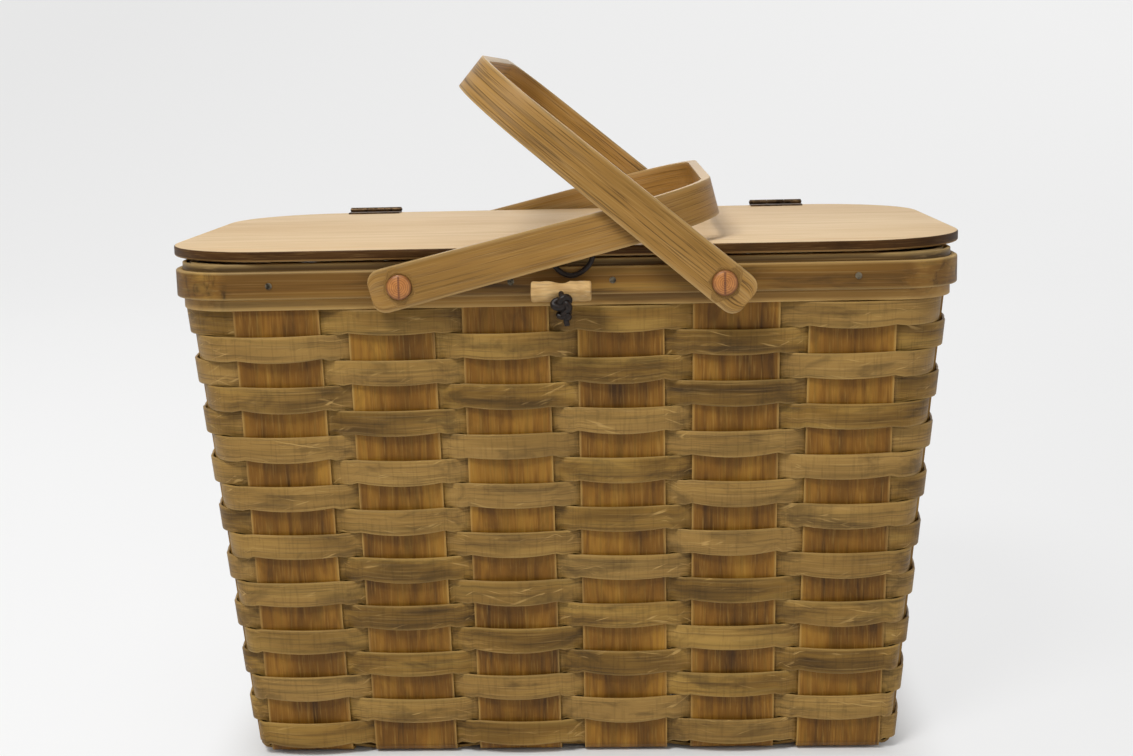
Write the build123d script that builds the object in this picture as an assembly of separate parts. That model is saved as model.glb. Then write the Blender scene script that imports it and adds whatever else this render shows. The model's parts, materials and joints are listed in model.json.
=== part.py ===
"""Woven splint picnic basket with a hinged board lid and two folding handles.

Millimetres. The origin is on the floor under the middle of the basket, +X to the
right, the front faces -Y and +Z is up. The pose is the closed basket with both
handles leaning over its lid, the left one under the right one.
"""
from build123d import *
from math import cos, floor, pi, radians, sin, tan
import os

# Body: the middle of the woven wall, at the floor and under the rim
RIM_LENGTH = 460.0
RIM_DEPTH = 280.0
BASKET_HEIGHT = 304.0
FLOOR_LENGTH = 386.0
FLOOR_DEPTH = 240.0
CORNER_TOP = 31.0
CORNER_FLOOR = 7.0
BEND_RADIUS = 5.0

# Splints
STAVE_WIDTH = 50.0
STAVE_THICKNESS = 1.6
STAVE_GAP_LEAST = 10.0
STAVE_MARGIN = 0.5
ROWS = 18
WEAVER_THICKNESS = 1.5
ROW_GAP = 0.35
SPLINT_CLEARANCE = 0.35
WEAVER_BULGE = 1.3

# Rim
RIM_BAND_HEIGHT = 27.0
RIM_BAND_THICKNESS = 2.4
INNER_BAND_THICKNESS = 3.0
HOOP_HEIGHT = 16.0
HOOP_DROP = 4.2
HOOP_THICKNESS = 4.0
RIM_CLEARANCE = 0.1
NAIL_RADIUS = 0.9
NAIL_HEAD_RADIUS = 1.9
NAIL_HEAD_HEIGHT = 0.6
NAIL_SPREAD = 29.0
NAIL_INSET_FRONT = 62.0
NAIL_INSET_SIDE = 85.0

# Lid
LID_OVERHANG = 7.0
LID_SETBACK = 0.8
LID_THICKNESS = 6.0
LID_CORNER = 70.0
LID_GAP = 1.5
LID_SHIFT = -1.0
LID_EDGE_ROUND = 1.2

# Lid hinges
HINGE_INSET = 84.0
HINGE_LENGTH = 37.0
HINGE_LEAF = 1.0
HINGE_LEAF_LID = 11.0
HINGE_LEAF_RIM = 14.0
BARREL_RADIUS = 1.8
PIN_RADIUS = 0.9
PIN_CLEARANCE = 0.15
KNUCKLE_GAP = 0.3
HINGE_LIFT = 0.2
HINGE_PIN_PROUD = 0.5
SCREW_RADIUS = 0.9
SCREW_HEAD_RADIUS = 1.9
SCREW_LENGTH = 5.0
SCREW_SPREAD = 12.0

# Handles and their pegs
PIVOT_INSET = 8.0
PIVOT_DROP = 13.0
HANDLE_REACH = 184.0
HANDLE_THICKNESS = 5.5
HANDLE_WIDTH = 25.0
HANDLE_WIDTH_TIP = 22.0
HANDLE_TAIL = 17.0
HANDLE_TAIL_FLAT = 10.0
HANDLE_CORNER = 52.0
LEFT_STANDOFF = 4.0
HANDLE_LAYER_GAP = 1.0
LEFT_LEAN = 14.0
RIGHT_LEAN = 40.0
PEG_RADIUS = 7.2
PEG_COLLAR_RADIUS = 9.6
PEG_CLEARANCE = 0.2
PEG_PROUD = 2.0
PEG_END_ROUND = 0.8
COLLAR_CLEARANCE = 0.2
WEDGE_THICKNESS = 1.2
WEDGE_DEPTH = 5.0
WEDGE_INSET = 1.0

# Closure: leather loop on the lid, wooden toggle on a leather lace
TOGGLE_LENGTH = 34.0
TOGGLE_RADIUS = 5.8
TOGGLE_DROP = 17.0
TOGGLE_GAP = 3.7
TOGGLE_EDGE_ROUND = 1.0
TOGGLE_WAIST = 4.6
TOGGLE_WAIST_LENGTH = 12.0
LACE_RADIUS = 1.6
LACE_CLEARANCE = 0.3
LACE_EXIT_DROP = 2.0
LACE_BEND = 1.7
KNOT_RADIUS = 3.6
KNOT_DROP = 1.0
LOOP_RADIUS = 1.5
LOOP_LEFT = -6.5
LOOP_RIGHT = 18.5
LOOP_DROP = 11.0
LOOP_GAP = 0.3
LOOP_INSET = 9.0
LOOP_EXIT_BEND = 1.9

# Heights and offsets that follow from the sizes above
rim_z = BASKET_HEIGHT - RIM_BAND_HEIGHT
floor_mid = STAVE_THICKNESS + SPLINT_CLEARANCE / 2
weave_z = floor_mid + BEND_RADIUS
row_pitch = (rim_z - weave_z) / ROWS
band_inner = STAVE_THICKNESS / 2 + RIM_CLEARANCE
band_outer = band_inner + RIM_BAND_THICKNESS
hoop_outer = band_outer + HOOP_THICKNESS
wall_length_top = RIM_LENGTH / 2 - hoop_outer
wall_depth_top = RIM_DEPTH / 2 - hoop_outer
splint_lift = (STAVE_THICKNESS + WEAVER_THICKNESS) / 2 + SPLINT_CLEARANCE
rim_face = RIM_DEPTH / 2
rim_end = RIM_LENGTH / 2
rim_inside = rim_face - hoop_outer - band_inner - INNER_BAND_THICKNESS
pivot_z = BASKET_HEIGHT - PIVOT_DROP
lid_z = BASKET_HEIGHT + LID_GAP
lid_top = lid_z + LID_THICKNESS
lid_length = RIM_LENGTH + 2 * LID_OVERHANG
lid_depth = RIM_DEPTH - 2 * LID_SETBACK
left_standoff = rim_face + LEFT_STANDOFF
right_standoff = left_standoff + HANDLE_THICKNESS + HANDLE_LAYER_GAP
nail_z = BASKET_HEIGHT - HOOP_DROP - HOOP_HEIGHT / 2
hinge_x = rim_end - HINGE_INSET
hinge_y = rim_face + HINGE_LEAF - BARREL_RADIUS
hinge_z = lid_top + BARREL_RADIUS + HINGE_LIFT
toggle_y = -rim_face - TOGGLE_GAP - TOGGLE_RADIUS
toggle_z = BASKET_HEIGHT - TOGGLE_DROP


def save(solid, node):
    """Writes one node to its own STEP file."""
    export_step(solid, f"parts/{node}.step")


def wall(z):
    """Half length, half depth and corner radius of the wall's middle at height z."""
    share = min(max((z - floor_mid) / (rim_z - floor_mid), 0.0), 1.0)
    half_length = FLOOR_LENGTH / 2 + (wall_length_top - FLOOR_LENGTH / 2) * share
    half_depth = FLOOR_DEPTH / 2 + (wall_depth_top - FLOOR_DEPTH / 2) * share
    return half_length, half_depth, CORNER_FLOOR + (CORNER_TOP - CORNER_FLOOR) * share


def straight_half(z, axis):
    """Half of the wall's straight stretch that the staves share, along X (0) or Y (1)."""
    return wall(z)[axis] - wall(z)[2] - STAVE_MARGIN


def stave_count(axis):
    """As many staves as fit side by side on the floor along X (0) or Y (1)."""
    span = 2 * straight_half(0, axis)
    return floor((span + STAVE_GAP_LEAST) / (STAVE_WIDTH + STAVE_GAP_LEAST))


def stave_places(z, axis):
    """Middles of the staves at height z, spread over the straight stretch of the wall."""
    count = stave_count(axis)
    reach = straight_half(z, axis) - STAVE_WIDTH / 2
    return [reach * (2 * number / (count - 1) - 1) for number in range(count)]


def offset_strip(points, thickness):
    """Outline of a strip of even thickness along a path in a plane."""
    left = []
    right = []
    for number, point in enumerate(points):
        before = points[max(number - 1, 0)]
        after = points[min(number + 1, len(points) - 1)]
        direction = Vector(after[0] - before[0], after[1] - before[1]).normalized()
        shift = Vector(-direction.Y, direction.X) * (thickness / 2)
        left.append((point[0] + shift.X, point[1] + shift.Y))
        right.append((point[0] - shift.X, point[1] - shift.Y))
    return left + right[::-1]


def plait_signs(own_axis, number):
    """Which way a stave passes at each crossing under the basket: 1 over, -1 under.

    The plait is mirrored about the middle, so the middle long stave lies under both middle cross staves.
    """
    signs = []
    for crossing in range(stave_count(1 - own_axis)):
        cross, long = (number, crossing) if own_axis == 0 else (crossing, number)
        from_end = min(cross, stave_count(0) - 1 - cross)
        cross_over = 1 if (from_end + long) % 2 else -1
        signs.append(cross_over if own_axis == 0 else -cross_over)
    return signs


def floor_path(half_span, crossings, signs):
    """Path of a stave under the basket: plaited flat part and the bends up to both walls."""
    lift = (STAVE_THICKNESS + SPLINT_CLEARANCE) / 2
    steps = 4
    bend = []
    for step in range(steps + 1):
        angle = pi / 2 * step / steps
        bend.append((half_span - BEND_RADIUS * (1 - cos(angle)), floor_mid + BEND_RADIUS * (1 - sin(angle))))
    path = [(-out, height) for out, height in bend]
    for crossing, sign in zip(crossings, signs):
        path.append((crossing - STAVE_WIDTH / 2, floor_mid + lift * sign))
        path.append((crossing + STAVE_WIDTH / 2, floor_mid + lift * sign))
    return path + bend[::-1]


def pivot_x():
    """Distance of both handle pivots from the middle, on the staves next to the outermost."""
    return stave_places(pivot_z, 0)[-2] - PIVOT_INSET


def peg_holes():
    """Tools along Y through both long walls at the two handle pivots."""
    tool = Rotation(90, 0, 0) * Cylinder(PEG_RADIUS + PEG_CLEARANCE, 2 * RIM_DEPTH)
    return [Pos(side * pivot_x(), 0, pivot_z) * tool for side in (-1, 1)]


def nail_axes():
    """Place and outward direction of each rim nail."""
    axes = []
    outermost = rim_end - NAIL_INSET_FRONT
    for x in (-outermost, -NAIL_SPREAD, NAIL_SPREAD, outermost):
        axes.append((Vector(x, -rim_face, nail_z), Vector(0, -1, 0)))
        axes.append((Vector(x, rim_face, nail_z), Vector(0, 1, 0)))
    for y in (NAIL_INSET_SIDE - rim_face, rim_face - NAIL_INSET_SIDE):
        axes.append((Vector(-rim_end, y, nail_z), Vector(-1, 0, 0)))
        axes.append((Vector(rim_end, y, nail_z), Vector(1, 0, 0)))
    return axes


def nail_shank(place, outward):
    """Shank of a nail, from the hoop's face to the middle of the inner band."""
    depth = hoop_outer + band_inner + INNER_BAND_THICKNESS / 2
    return Plane(place, z_dir=-outward) * Pos(0, 0, depth / 2) * Cylinder(NAIL_RADIUS, depth)


def drill(solid, tools):
    """The solid with each tool cut out of it."""
    for tool in tools:
        solid = solid - tool
    return solid


def build_stave(own_axis, number):
    """One stave: up one wall, plaited under the basket and up the opposite wall.

    Staves spread along X (own_axis 0) cross the floor along Y, and the other way round.
    """
    run_axis = 1 - own_axis
    half_span = wall(0)[run_axis]
    path = floor_path(half_span, stave_places(0, run_axis), plait_signs(own_axis, number))
    outline = offset_strip(path, STAVE_THICKNESS)
    middle = stave_places(0, own_axis)[number]
    if own_axis == 0:
        plane = Plane((middle, 0, 0), x_dir=(0, 1, 0), z_dir=(1, 0, 0))
    else:
        plane = Plane((0, middle, 0), x_dir=(1, 0, 0), z_dir=(0, -1, 0))
    stave = extrude(plane * make_face(Polyline(*outline, close=True)), STAVE_WIDTH / 2, both=True)
    for side in (-1, 1):
        sections = []
        for z in (weave_z - STAVE_THICKNESS / 2, rim_z, BASKET_HEIGHT):
            place = stave_places(z, own_axis)[number]
            out = side * wall(z)[run_axis]
            if own_axis == 0:
                sections.append(Pos(place, out, z) * Rectangle(STAVE_WIDTH, STAVE_THICKNESS))
            else:
                sections.append(Pos(out, place, z) * Rectangle(STAVE_THICKNESS, STAVE_WIDTH))
        stave = stave + loft(sections, ruled=True)
    return stave


def build_staves(rim_tools):
    """All staves, drilled for the pegs, nails and screws of the rim."""
    for own_axis, name in ((0, "stave_cross"), (1, "stave_long")):
        for number in range(stave_count(own_axis)):
            save(drill(build_stave(own_axis, number), rim_tools), f"{name}_{number + 1}")


def stave_stations(z):
    """Stave middles anticlockwise from the front left, with outward and forward directions."""
    half_length, half_depth, _ = wall(z)
    stations = []
    for x in stave_places(z, 0):
        stations.append((Vector(x, -half_depth), Vector(0, -1), Vector(1, 0)))
    for y in stave_places(z, 1):
        stations.append((Vector(half_length, y), Vector(1, 0), Vector(0, 1)))
    for x in reversed(stave_places(z, 0)):
        stations.append((Vector(x, half_depth), Vector(0, 1), Vector(-1, 0)))
    for y in reversed(stave_places(z, 1)):
        stations.append((Vector(-half_length, y), Vector(-1, 0), Vector(0, -1)))
    return stations


def weaver_path(z, first_sign, offset):
    """Plan outline of a weaver at height z: over and under the staves, round the corners."""
    half_length, half_depth, corner = wall(z)
    stations = stave_stations(z)
    points = []
    sign = first_sign
    corner_steps = 6
    for number, (middle, outward, forward) in enumerate(stations):
        for step in range(-2, 3):
            bulge = WEAVER_BULGE * (1 - (step / 2) ** 2)
            away = sign * (splint_lift + bulge) + offset
            points.append(middle + forward * (step * STAVE_WIDTH / 4) + outward * away)
        following, next_outward, _ = stations[(number + 1) % len(stations)]
        if next_outward == outward:
            points.append((middle + following) / 2 + outward * offset)
        else:
            diagonal = outward + next_outward
            centre = Vector((half_length - corner) * diagonal.X, (half_depth - corner) * diagonal.Y)
            for step in range(corner_steps + 1):
                share = step / corner_steps
                spoke = outward * cos(share * pi / 2) + next_outward * sin(share * pi / 2)
                away = corner + sign * splint_lift * cos(share * pi) + offset
                points.append(centre + spoke * away)
        sign = -sign
    return points


def weaver_solid(low, high, first_sign, offset):
    """Filled ruled solid of a weaver's outer or inner face between two heights."""
    faces = []
    for z in (low, high):
        outline = [(point.X, point.Y, z) for point in weaver_path(z, first_sign, offset)]
        faces.append(make_face(Polyline(*outline, close=True)))
    return loft(faces, ruled=True)


def build_weavers():
    """Rows of weavers, numbered from the rim down, each a closed wavy hoop."""
    for row in range(ROWS):
        high = rim_z - row * row_pitch - ROW_GAP / 2
        low = high - row_pitch + ROW_GAP
        first_sign = 1 if row % 2 else -1
        outer = weaver_solid(low, high, first_sign, WEAVER_THICKNESS / 2)
        inner = weaver_solid(low, high, first_sign, -WEAVER_THICKNESS / 2)
        save(outer - inner, f"weaver_{row + 1:02d}")


def rim_ring(outer, inner, low, high):
    """Upright ring between two distances from the wall's middle line."""
    half_length, half_depth, corner = wall(high)
    rings = []
    for away in (outer, inner):
        outline = RectangleRounded(2 * (half_length + away), 2 * (half_depth + away), corner + away)
        rings.append(extrude(Pos(0, 0, low) * outline, high - low))
    return rings[0] - rings[1]


def build_rim(rim_tools):
    """Inner band, outer band, cover hoop and the nails through them."""
    top = BASKET_HEIGHT
    hoop_top = top - HOOP_DROP
    inner = rim_ring(-band_inner, -band_inner - INNER_BAND_THICKNESS, rim_z, top)
    save(drill(inner, rim_tools), "rim_inner_band")
    outer = rim_ring(band_outer, band_inner, rim_z, top)
    save(drill(outer, rim_tools), "rim_outer_band")
    hoop = rim_ring(hoop_outer, band_outer, hoop_top - HOOP_HEIGHT, hoop_top)
    save(drill(hoop, rim_tools), "rim_cover_hoop")
    nails = []
    for place, outward in nail_axes():
        head = Pos(0, 0, NAIL_HEAD_HEIGHT / 2) * Cylinder(NAIL_HEAD_RADIUS, NAIL_HEAD_HEIGHT)
        nails.append(nail_shank(place, outward) + Plane(place, z_dir=outward) * head)
    save(Compound(children=nails), "rim_nails")


def screw():
    """Countersunk screw with its head's top at the origin, pointing down."""
    head = Pos(0, 0, -HINGE_LEAF / 2) * Cone(SCREW_RADIUS, SCREW_HEAD_RADIUS, HINGE_LEAF)
    shank = Pos(0, 0, -SCREW_LENGTH / 2) * Cylinder(SCREW_RADIUS, SCREW_LENGTH)
    return head + shank


def hinge_screws(kind):
    """The screws of both hinges' leaves on the lid or on the rim."""
    screws = []
    for side in (-1, 1):
        for spread in (-SCREW_SPREAD, SCREW_SPREAD):
            x = side * hinge_x + spread
            if kind == "lid":
                y = hinge_y - BARREL_RADIUS - HINGE_LEAF_LID / 2
                plane = Plane((x, y, lid_top + HINGE_LEAF), x_dir=(1, 0, 0), z_dir=(0, 0, 1))
            else:
                plane = Plane((x, rim_face + HINGE_LEAF, nail_z), x_dir=(1, 0, 0), z_dir=(0, 1, 0))
            screws.append(plane * screw())
    return screws


def rim_leaf(centre, x, knuckle):
    """Leaf on the back of the rim, with the two outer knuckles of the barrel."""
    low = nail_z - HINGE_LEAF_RIM / 2
    height = hinge_z - low
    leaf = Pos(x, rim_face + HINGE_LEAF / 2, low + height / 2) * Box(HINGE_LENGTH, HINGE_LEAF, height)
    notch_size = 4 * BARREL_RADIUS
    leaf = leaf - Pos(x, rim_face, hinge_z) * Box(knuckle + 2 * KNUCKLE_GAP, notch_size, notch_size)
    for end in (-1, 1):
        place = centre * Pos(end * (HINGE_LENGTH - knuckle) / 2, 0, 0) * Rotation(0, 90, 0)
        leaf = leaf + place * Cylinder(BARREL_RADIUS, knuckle)
    return leaf


def lid_leaf(centre, x, knuckle):
    """Leaf on the lid, with the middle knuckle of the barrel."""
    depth = HINGE_LEAF_LID + BARREL_RADIUS
    flat = Pos(x, hinge_y - depth / 2, lid_top + HINGE_LEAF / 2) * Box(HINGE_LENGTH, depth, HINGE_LEAF)
    for end in (-1, 1):
        place = centre * Pos(end * (HINGE_LENGTH - knuckle - KNUCKLE_GAP) / 2, 0, 0) * Rotation(0, 90, 0)
        flat = flat - place * Cylinder(BARREL_RADIUS + KNUCKLE_GAP, knuckle + KNUCKLE_GAP)
    return flat + centre * Rotation(0, 90, 0) * Cylinder(BARREL_RADIUS, knuckle)


def build_hinges():
    """Two butt hinges: a leaf on the rim, a leaf on the lid and a pin in each."""
    knuckle = (HINGE_LENGTH - 2 * KNUCKLE_GAP) / 3
    running_bore = Rotation(0, 90, 0) * Cylinder(PIN_RADIUS + PIN_CLEARANCE, 2 * HINGE_LENGTH)
    tight_bore = Rotation(0, 90, 0) * Cylinder(PIN_RADIUS, 2 * HINGE_LENGTH)
    pin = Rotation(0, 90, 0) * Cylinder(PIN_RADIUS, HINGE_LENGTH + 2 * HINGE_PIN_PROUD)
    rim_screws = hinge_screws("rim")
    lid_screws = hinge_screws("lid")
    for side, name in ((-1, "left"), (1, "right")):
        x = side * hinge_x
        centre = Pos(x, hinge_y, hinge_z)
        on_rim = drill(rim_leaf(centre, x, knuckle), [centre * tight_bore] + rim_screws)
        on_lid = drill(lid_leaf(centre, x, knuckle), [centre * running_bore] + lid_screws)
        save(on_rim, f"hinge_rim_leaf_{name}")
        save(on_lid, f"hinge_lid_leaf_{name}")
        save(centre * pin, f"hinge_pin_{name}")
    save(Compound(children=rim_screws), "hinge_screws_rim")
    save(Compound(children=lid_screws), "hinge_screws_lid")


def bend_radii(points):
    """Largest even bends of a cord at the inner points of its route."""
    radii = []
    for before, point, after in zip(points, points[1:], points[2:]):
        inward = Vector(*point) - Vector(*before)
        onward = Vector(*after) - Vector(*point)
        half_turn = radians(inward.get_angle(onward)) / 2
        radii.append(0.45 * min(inward.length, onward.length) / tan(half_turn))
    return radii


def cord(points, radii, radius, name):
    """Round cord along a route of straight runs and tangent arcs."""
    route = FilletPolyline(*points, radius=radii)
    solid = sweep(Plane(route @ 0, z_dir=route % 0) * Circle(radius), path=route)
    print(name, "length", round(route.length, 2), "radii", [round(value, 1) for value in radii])
    print(name, "volume over section times length", solid.volume / (pi * radius ** 2 * route.length))
    return solid


def loop_route():
    """Route of the leather loop: out of the lid's edge, down in front of the rim and back up."""
    inside = -lid_depth / 2 + LOOP_INSET
    y = -rim_face - LOOP_GAP - LOOP_RADIUS
    top = lid_z + LID_THICKNESS / 2
    low = lid_z - LOOP_DROP
    middle = (LOOP_LEFT + LOOP_RIGHT) / 2
    return [
        (LOOP_LEFT, inside, top),
        (LOOP_LEFT, y, top),
        (LOOP_LEFT + 2.0, y, low + 6.0),
        (middle - 3.0, y, low),
        (middle + 4.0, y, low + 1.0),
        (LOOP_RIGHT - 1.5, y, low + 7.0),
        (LOOP_RIGHT, y, top),
        (LOOP_RIGHT, inside, top),
    ]


def build_lid():
    """Lid board and the leather loop in two holes of its front edge."""
    outline = Pos(LID_SHIFT, 0, lid_z) * RectangleRounded(lid_length, lid_depth, LID_CORNER)
    board = extrude(outline, LID_THICKNESS)
    board = fillet(board.faces().sort_by(Axis.Z)[-1].edges(), LID_EDGE_ROUND)
    holes = []
    for x in (LOOP_LEFT, LOOP_RIGHT):
        place = Pos(x, -lid_depth / 2 + LOOP_INSET / 2, lid_z + LID_THICKNESS / 2)
        holes.append(place * Rotation(90, 0, 0) * Cylinder(LOOP_RADIUS, LOOP_INSET))
    save(drill(board, holes + hinge_screws("lid")), "lid_board")
    points = loop_route()
    radii = [LOOP_EXIT_BEND] + bend_radii(points)[1:-1] + [LOOP_EXIT_BEND]
    save(cord(points, radii, LOOP_RADIUS, "closing_loop"), "closing_loop")


def handle_outline(half, reach, corner):
    """Filled plan of a handle's outer or inner face, open behind the pivot."""
    behind = 3 * HANDLE_TAIL
    block = Pos((reach - behind) / 2, 0, 0) * Box(reach + behind, 2 * half, 2 * HANDLE_WIDTH)
    return fillet(block.edges().filter_by(Axis.Z).sort_by(Axis.X)[-2:], corner)


def handle_shape(standoff):
    """Bent handle with its pivot at the origin and its arms along +X."""
    outer_half = standoff + HANDLE_THICKNESS
    spare = HANDLE_THICKNESS / 2
    outer = handle_outline(outer_half, HANDLE_REACH + spare, HANDLE_CORNER + spare)
    inner = handle_outline(standoff, HANDLE_REACH - spare, HANDLE_CORNER - spare)
    half = HANDLE_WIDTH / 2
    half_tip = HANDLE_WIDTH_TIP / 2
    tail_start = -HANDLE_TAIL + half - HANDLE_TAIL_FLAT / 2
    tip = HANDLE_REACH + HANDLE_THICKNESS
    upper = [(-HANDLE_TAIL, HANDLE_TAIL_FLAT / 2), (tail_start, half), (PEG_RADIUS, half), (tip, half_tip)]
    lower = [(x, -z) for x, z in reversed(upper)]
    profile = make_face(Polyline(*upper, *lower, close=True))
    side_view = extrude(Plane.XZ * profile, 2 * outer_half, both=True)
    bore = Rotation(90, 0, 0) * Cylinder(PEG_RADIUS + PEG_CLEARANCE, 4 * outer_half)
    return ((outer - inner) & side_view) - bore


def build_handles():
    """Both handles, turned to the lean of the pose shown."""
    left = Pos(-pivot_x(), 0, pivot_z) * Rotation(0, -LEFT_LEAN, 0) * handle_shape(left_standoff)
    save(left, "handle_left")
    right = Pos(pivot_x(), 0, pivot_z) * Rotation(0, RIGHT_LEAN - 180, 0) * handle_shape(right_standoff)
    save(right, "handle_right")


def build_pegs():
    """Handle pegs with a collar behind each arm, and the wedges that spread their ends."""
    inner = rim_inside - PEG_PROUD
    collar_low = rim_face + COLLAR_CLEARANCE
    for side, name, standoff in ((-1, "left", left_standoff), (1, "right", right_standoff)):
        outer = standoff + HANDLE_THICKNESS + PEG_PROUD
        collar_high = standoff - COLLAR_CLEARANCE
        shank = Pos(0, 0, (inner + outer) / 2) * Cylinder(PEG_RADIUS, outer - inner)
        collar_place = Pos(0, 0, (collar_low + collar_high) / 2)
        peg = shank + collar_place * Cylinder(PEG_COLLAR_RADIUS, collar_high - collar_low)
        shown_end = peg.edges().filter_by(GeomType.CIRCLE).sort_by(Axis.Z)[-1]
        peg = fillet(shown_end, PEG_END_ROUND)
        slit = Box(WEDGE_THICKNESS, 2 * PEG_RADIUS, WEDGE_DEPTH)
        wedge = Pos(0, 0, outer - WEDGE_DEPTH / 2) * (slit & Cylinder(PEG_RADIUS - WEDGE_INSET, WEDGE_DEPTH))
        for facing, wall_name in ((-1, "front"), (1, "back")):
            base = Plane((side * pivot_x(), 0, pivot_z), x_dir=(-facing, 0, 0), z_dir=(0, facing, 0))
            save(base * (peg - wedge), f"peg_{name}_{wall_name}")
            save(base * wedge, f"wedge_{name}_{wall_name}")


def lace_route():
    """Route of the toggle's lace: out from under the rim, up behind the toggle and through it."""
    low = rim_z - LACE_EXIT_DROP
    behind = toggle_y + TOGGLE_WAIST + LACE_RADIUS + LACE_CLEARANCE
    return [
        (0, -rim_face + HOOP_THICKNESS, low),
        (0, behind, low),
        (0, behind, toggle_z),
        (0, toggle_y - TOGGLE_WAIST, toggle_z),
    ]


def build_toggle():
    """Wooden toggle with a waist, and the knotted lace that holds it."""
    centre = Pos(0, toggle_y, toggle_z)
    lengthways = Rotation(0, 90, 0)
    bar = lengthways * Cylinder(TOGGLE_RADIUS, TOGGLE_LENGTH)
    bar = fillet(bar.edges().filter_by(GeomType.CIRCLE), TOGGLE_EDGE_ROUND)
    ring = lengthways * Cylinder(2 * TOGGLE_RADIUS, TOGGLE_WAIST_LENGTH)
    core = lengthways * Cylinder(TOGGLE_WAIST, TOGGLE_WAIST_LENGTH)
    hole = Rotation(90, 0, 0) * Cylinder(LACE_RADIUS + LACE_CLEARANCE, 4 * TOGGLE_RADIUS)
    save(centre * (bar - (ring - core) - hole), "toggle")
    lace = cord(lace_route(), [LACE_BEND, LACE_BEND], LACE_RADIUS, "toggle_lace")
    knot_out = TOGGLE_WAIST + LACE_CLEARANCE + KNOT_RADIUS
    knot = Pos(0, toggle_y - knot_out, toggle_z - KNOT_DROP) * Sphere(KNOT_RADIUS)
    tongue = Pos(0, toggle_y - TOGGLE_WAIST, toggle_z) * Rotation(90, 0, 0)
    tongue = tongue * Cylinder(LACE_RADIUS, 2 * KNOT_RADIUS)
    save(lace + tongue + knot, "toggle_lace")


def main():
    """Builds and writes every node."""
    os.makedirs("parts", exist_ok=True)
    rim_tools = peg_holes()
    rim_tools += [nail_shank(place, outward) for place, outward in nail_axes()]
    rim_tools += hinge_screws("rim")
    build_staves(rim_tools)
    build_weavers()
    build_rim(rim_tools)
    build_hinges()
    build_lid()
    build_handles()
    build_pegs()
    build_toggle()


main()
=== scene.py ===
"""Looks of a woven splint picnic basket, built around its solid parts.

Metres, in the solid parts' own frame: the origin on the floor under the middle of the
basket, +X to the right, the front faces -Y, +Z up.
"""
import json
import logging
from dataclasses import dataclass, replace
from enum import Enum
from math import cos, hypot, pi, radians, sin
from typing import Callable, Optional, Sequence, Union

import bmesh
import bpy
from mathutils import Matrix, Vector


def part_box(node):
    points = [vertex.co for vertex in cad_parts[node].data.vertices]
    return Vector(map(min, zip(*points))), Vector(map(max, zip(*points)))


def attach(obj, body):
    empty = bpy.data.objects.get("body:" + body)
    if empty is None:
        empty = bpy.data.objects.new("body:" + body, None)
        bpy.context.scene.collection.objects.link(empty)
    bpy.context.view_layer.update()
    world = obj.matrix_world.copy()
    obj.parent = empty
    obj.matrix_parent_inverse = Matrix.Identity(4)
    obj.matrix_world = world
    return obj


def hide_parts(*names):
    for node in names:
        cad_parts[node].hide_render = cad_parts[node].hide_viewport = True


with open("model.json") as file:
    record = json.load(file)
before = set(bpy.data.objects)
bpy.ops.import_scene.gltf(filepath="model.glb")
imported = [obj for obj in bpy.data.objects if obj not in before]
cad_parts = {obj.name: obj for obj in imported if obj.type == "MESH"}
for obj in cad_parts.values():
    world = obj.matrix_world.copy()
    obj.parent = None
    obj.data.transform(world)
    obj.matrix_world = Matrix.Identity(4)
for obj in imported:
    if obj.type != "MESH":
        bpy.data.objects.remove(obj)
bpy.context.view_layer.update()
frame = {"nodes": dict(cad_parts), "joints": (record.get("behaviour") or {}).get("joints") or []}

logging.basicConfig(level=logging.INFO, format="%(levelname)s %(message)s")
log = logging.getLogger("basket")

IMAGE_WIDTH = 1133
SAME_PLACE = 0.00001
HANDLE_GAP = 0.004
HANDLE_LAYER = 0.0065
PALE_STRIPE = 0.0010

Colour = tuple[float, float, float]
Place = Callable[[float, float], Vector]
Term = Union["Value", float]


def tint(code: str) -> Colour:
    """Linear colour of a six-digit sRGB hex code.

    Args:
        code: Hex digits, red first.

    Returns:
        Linear red, green and blue.
    """
    parts = [int(code[start:start + 2], 16) / 255 for start in (0, 2, 4)]
    return tuple(part / 12.92 if part <= 0.04045 else ((part + 0.055) / 1.055) ** 2.4 for part in parts)


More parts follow.
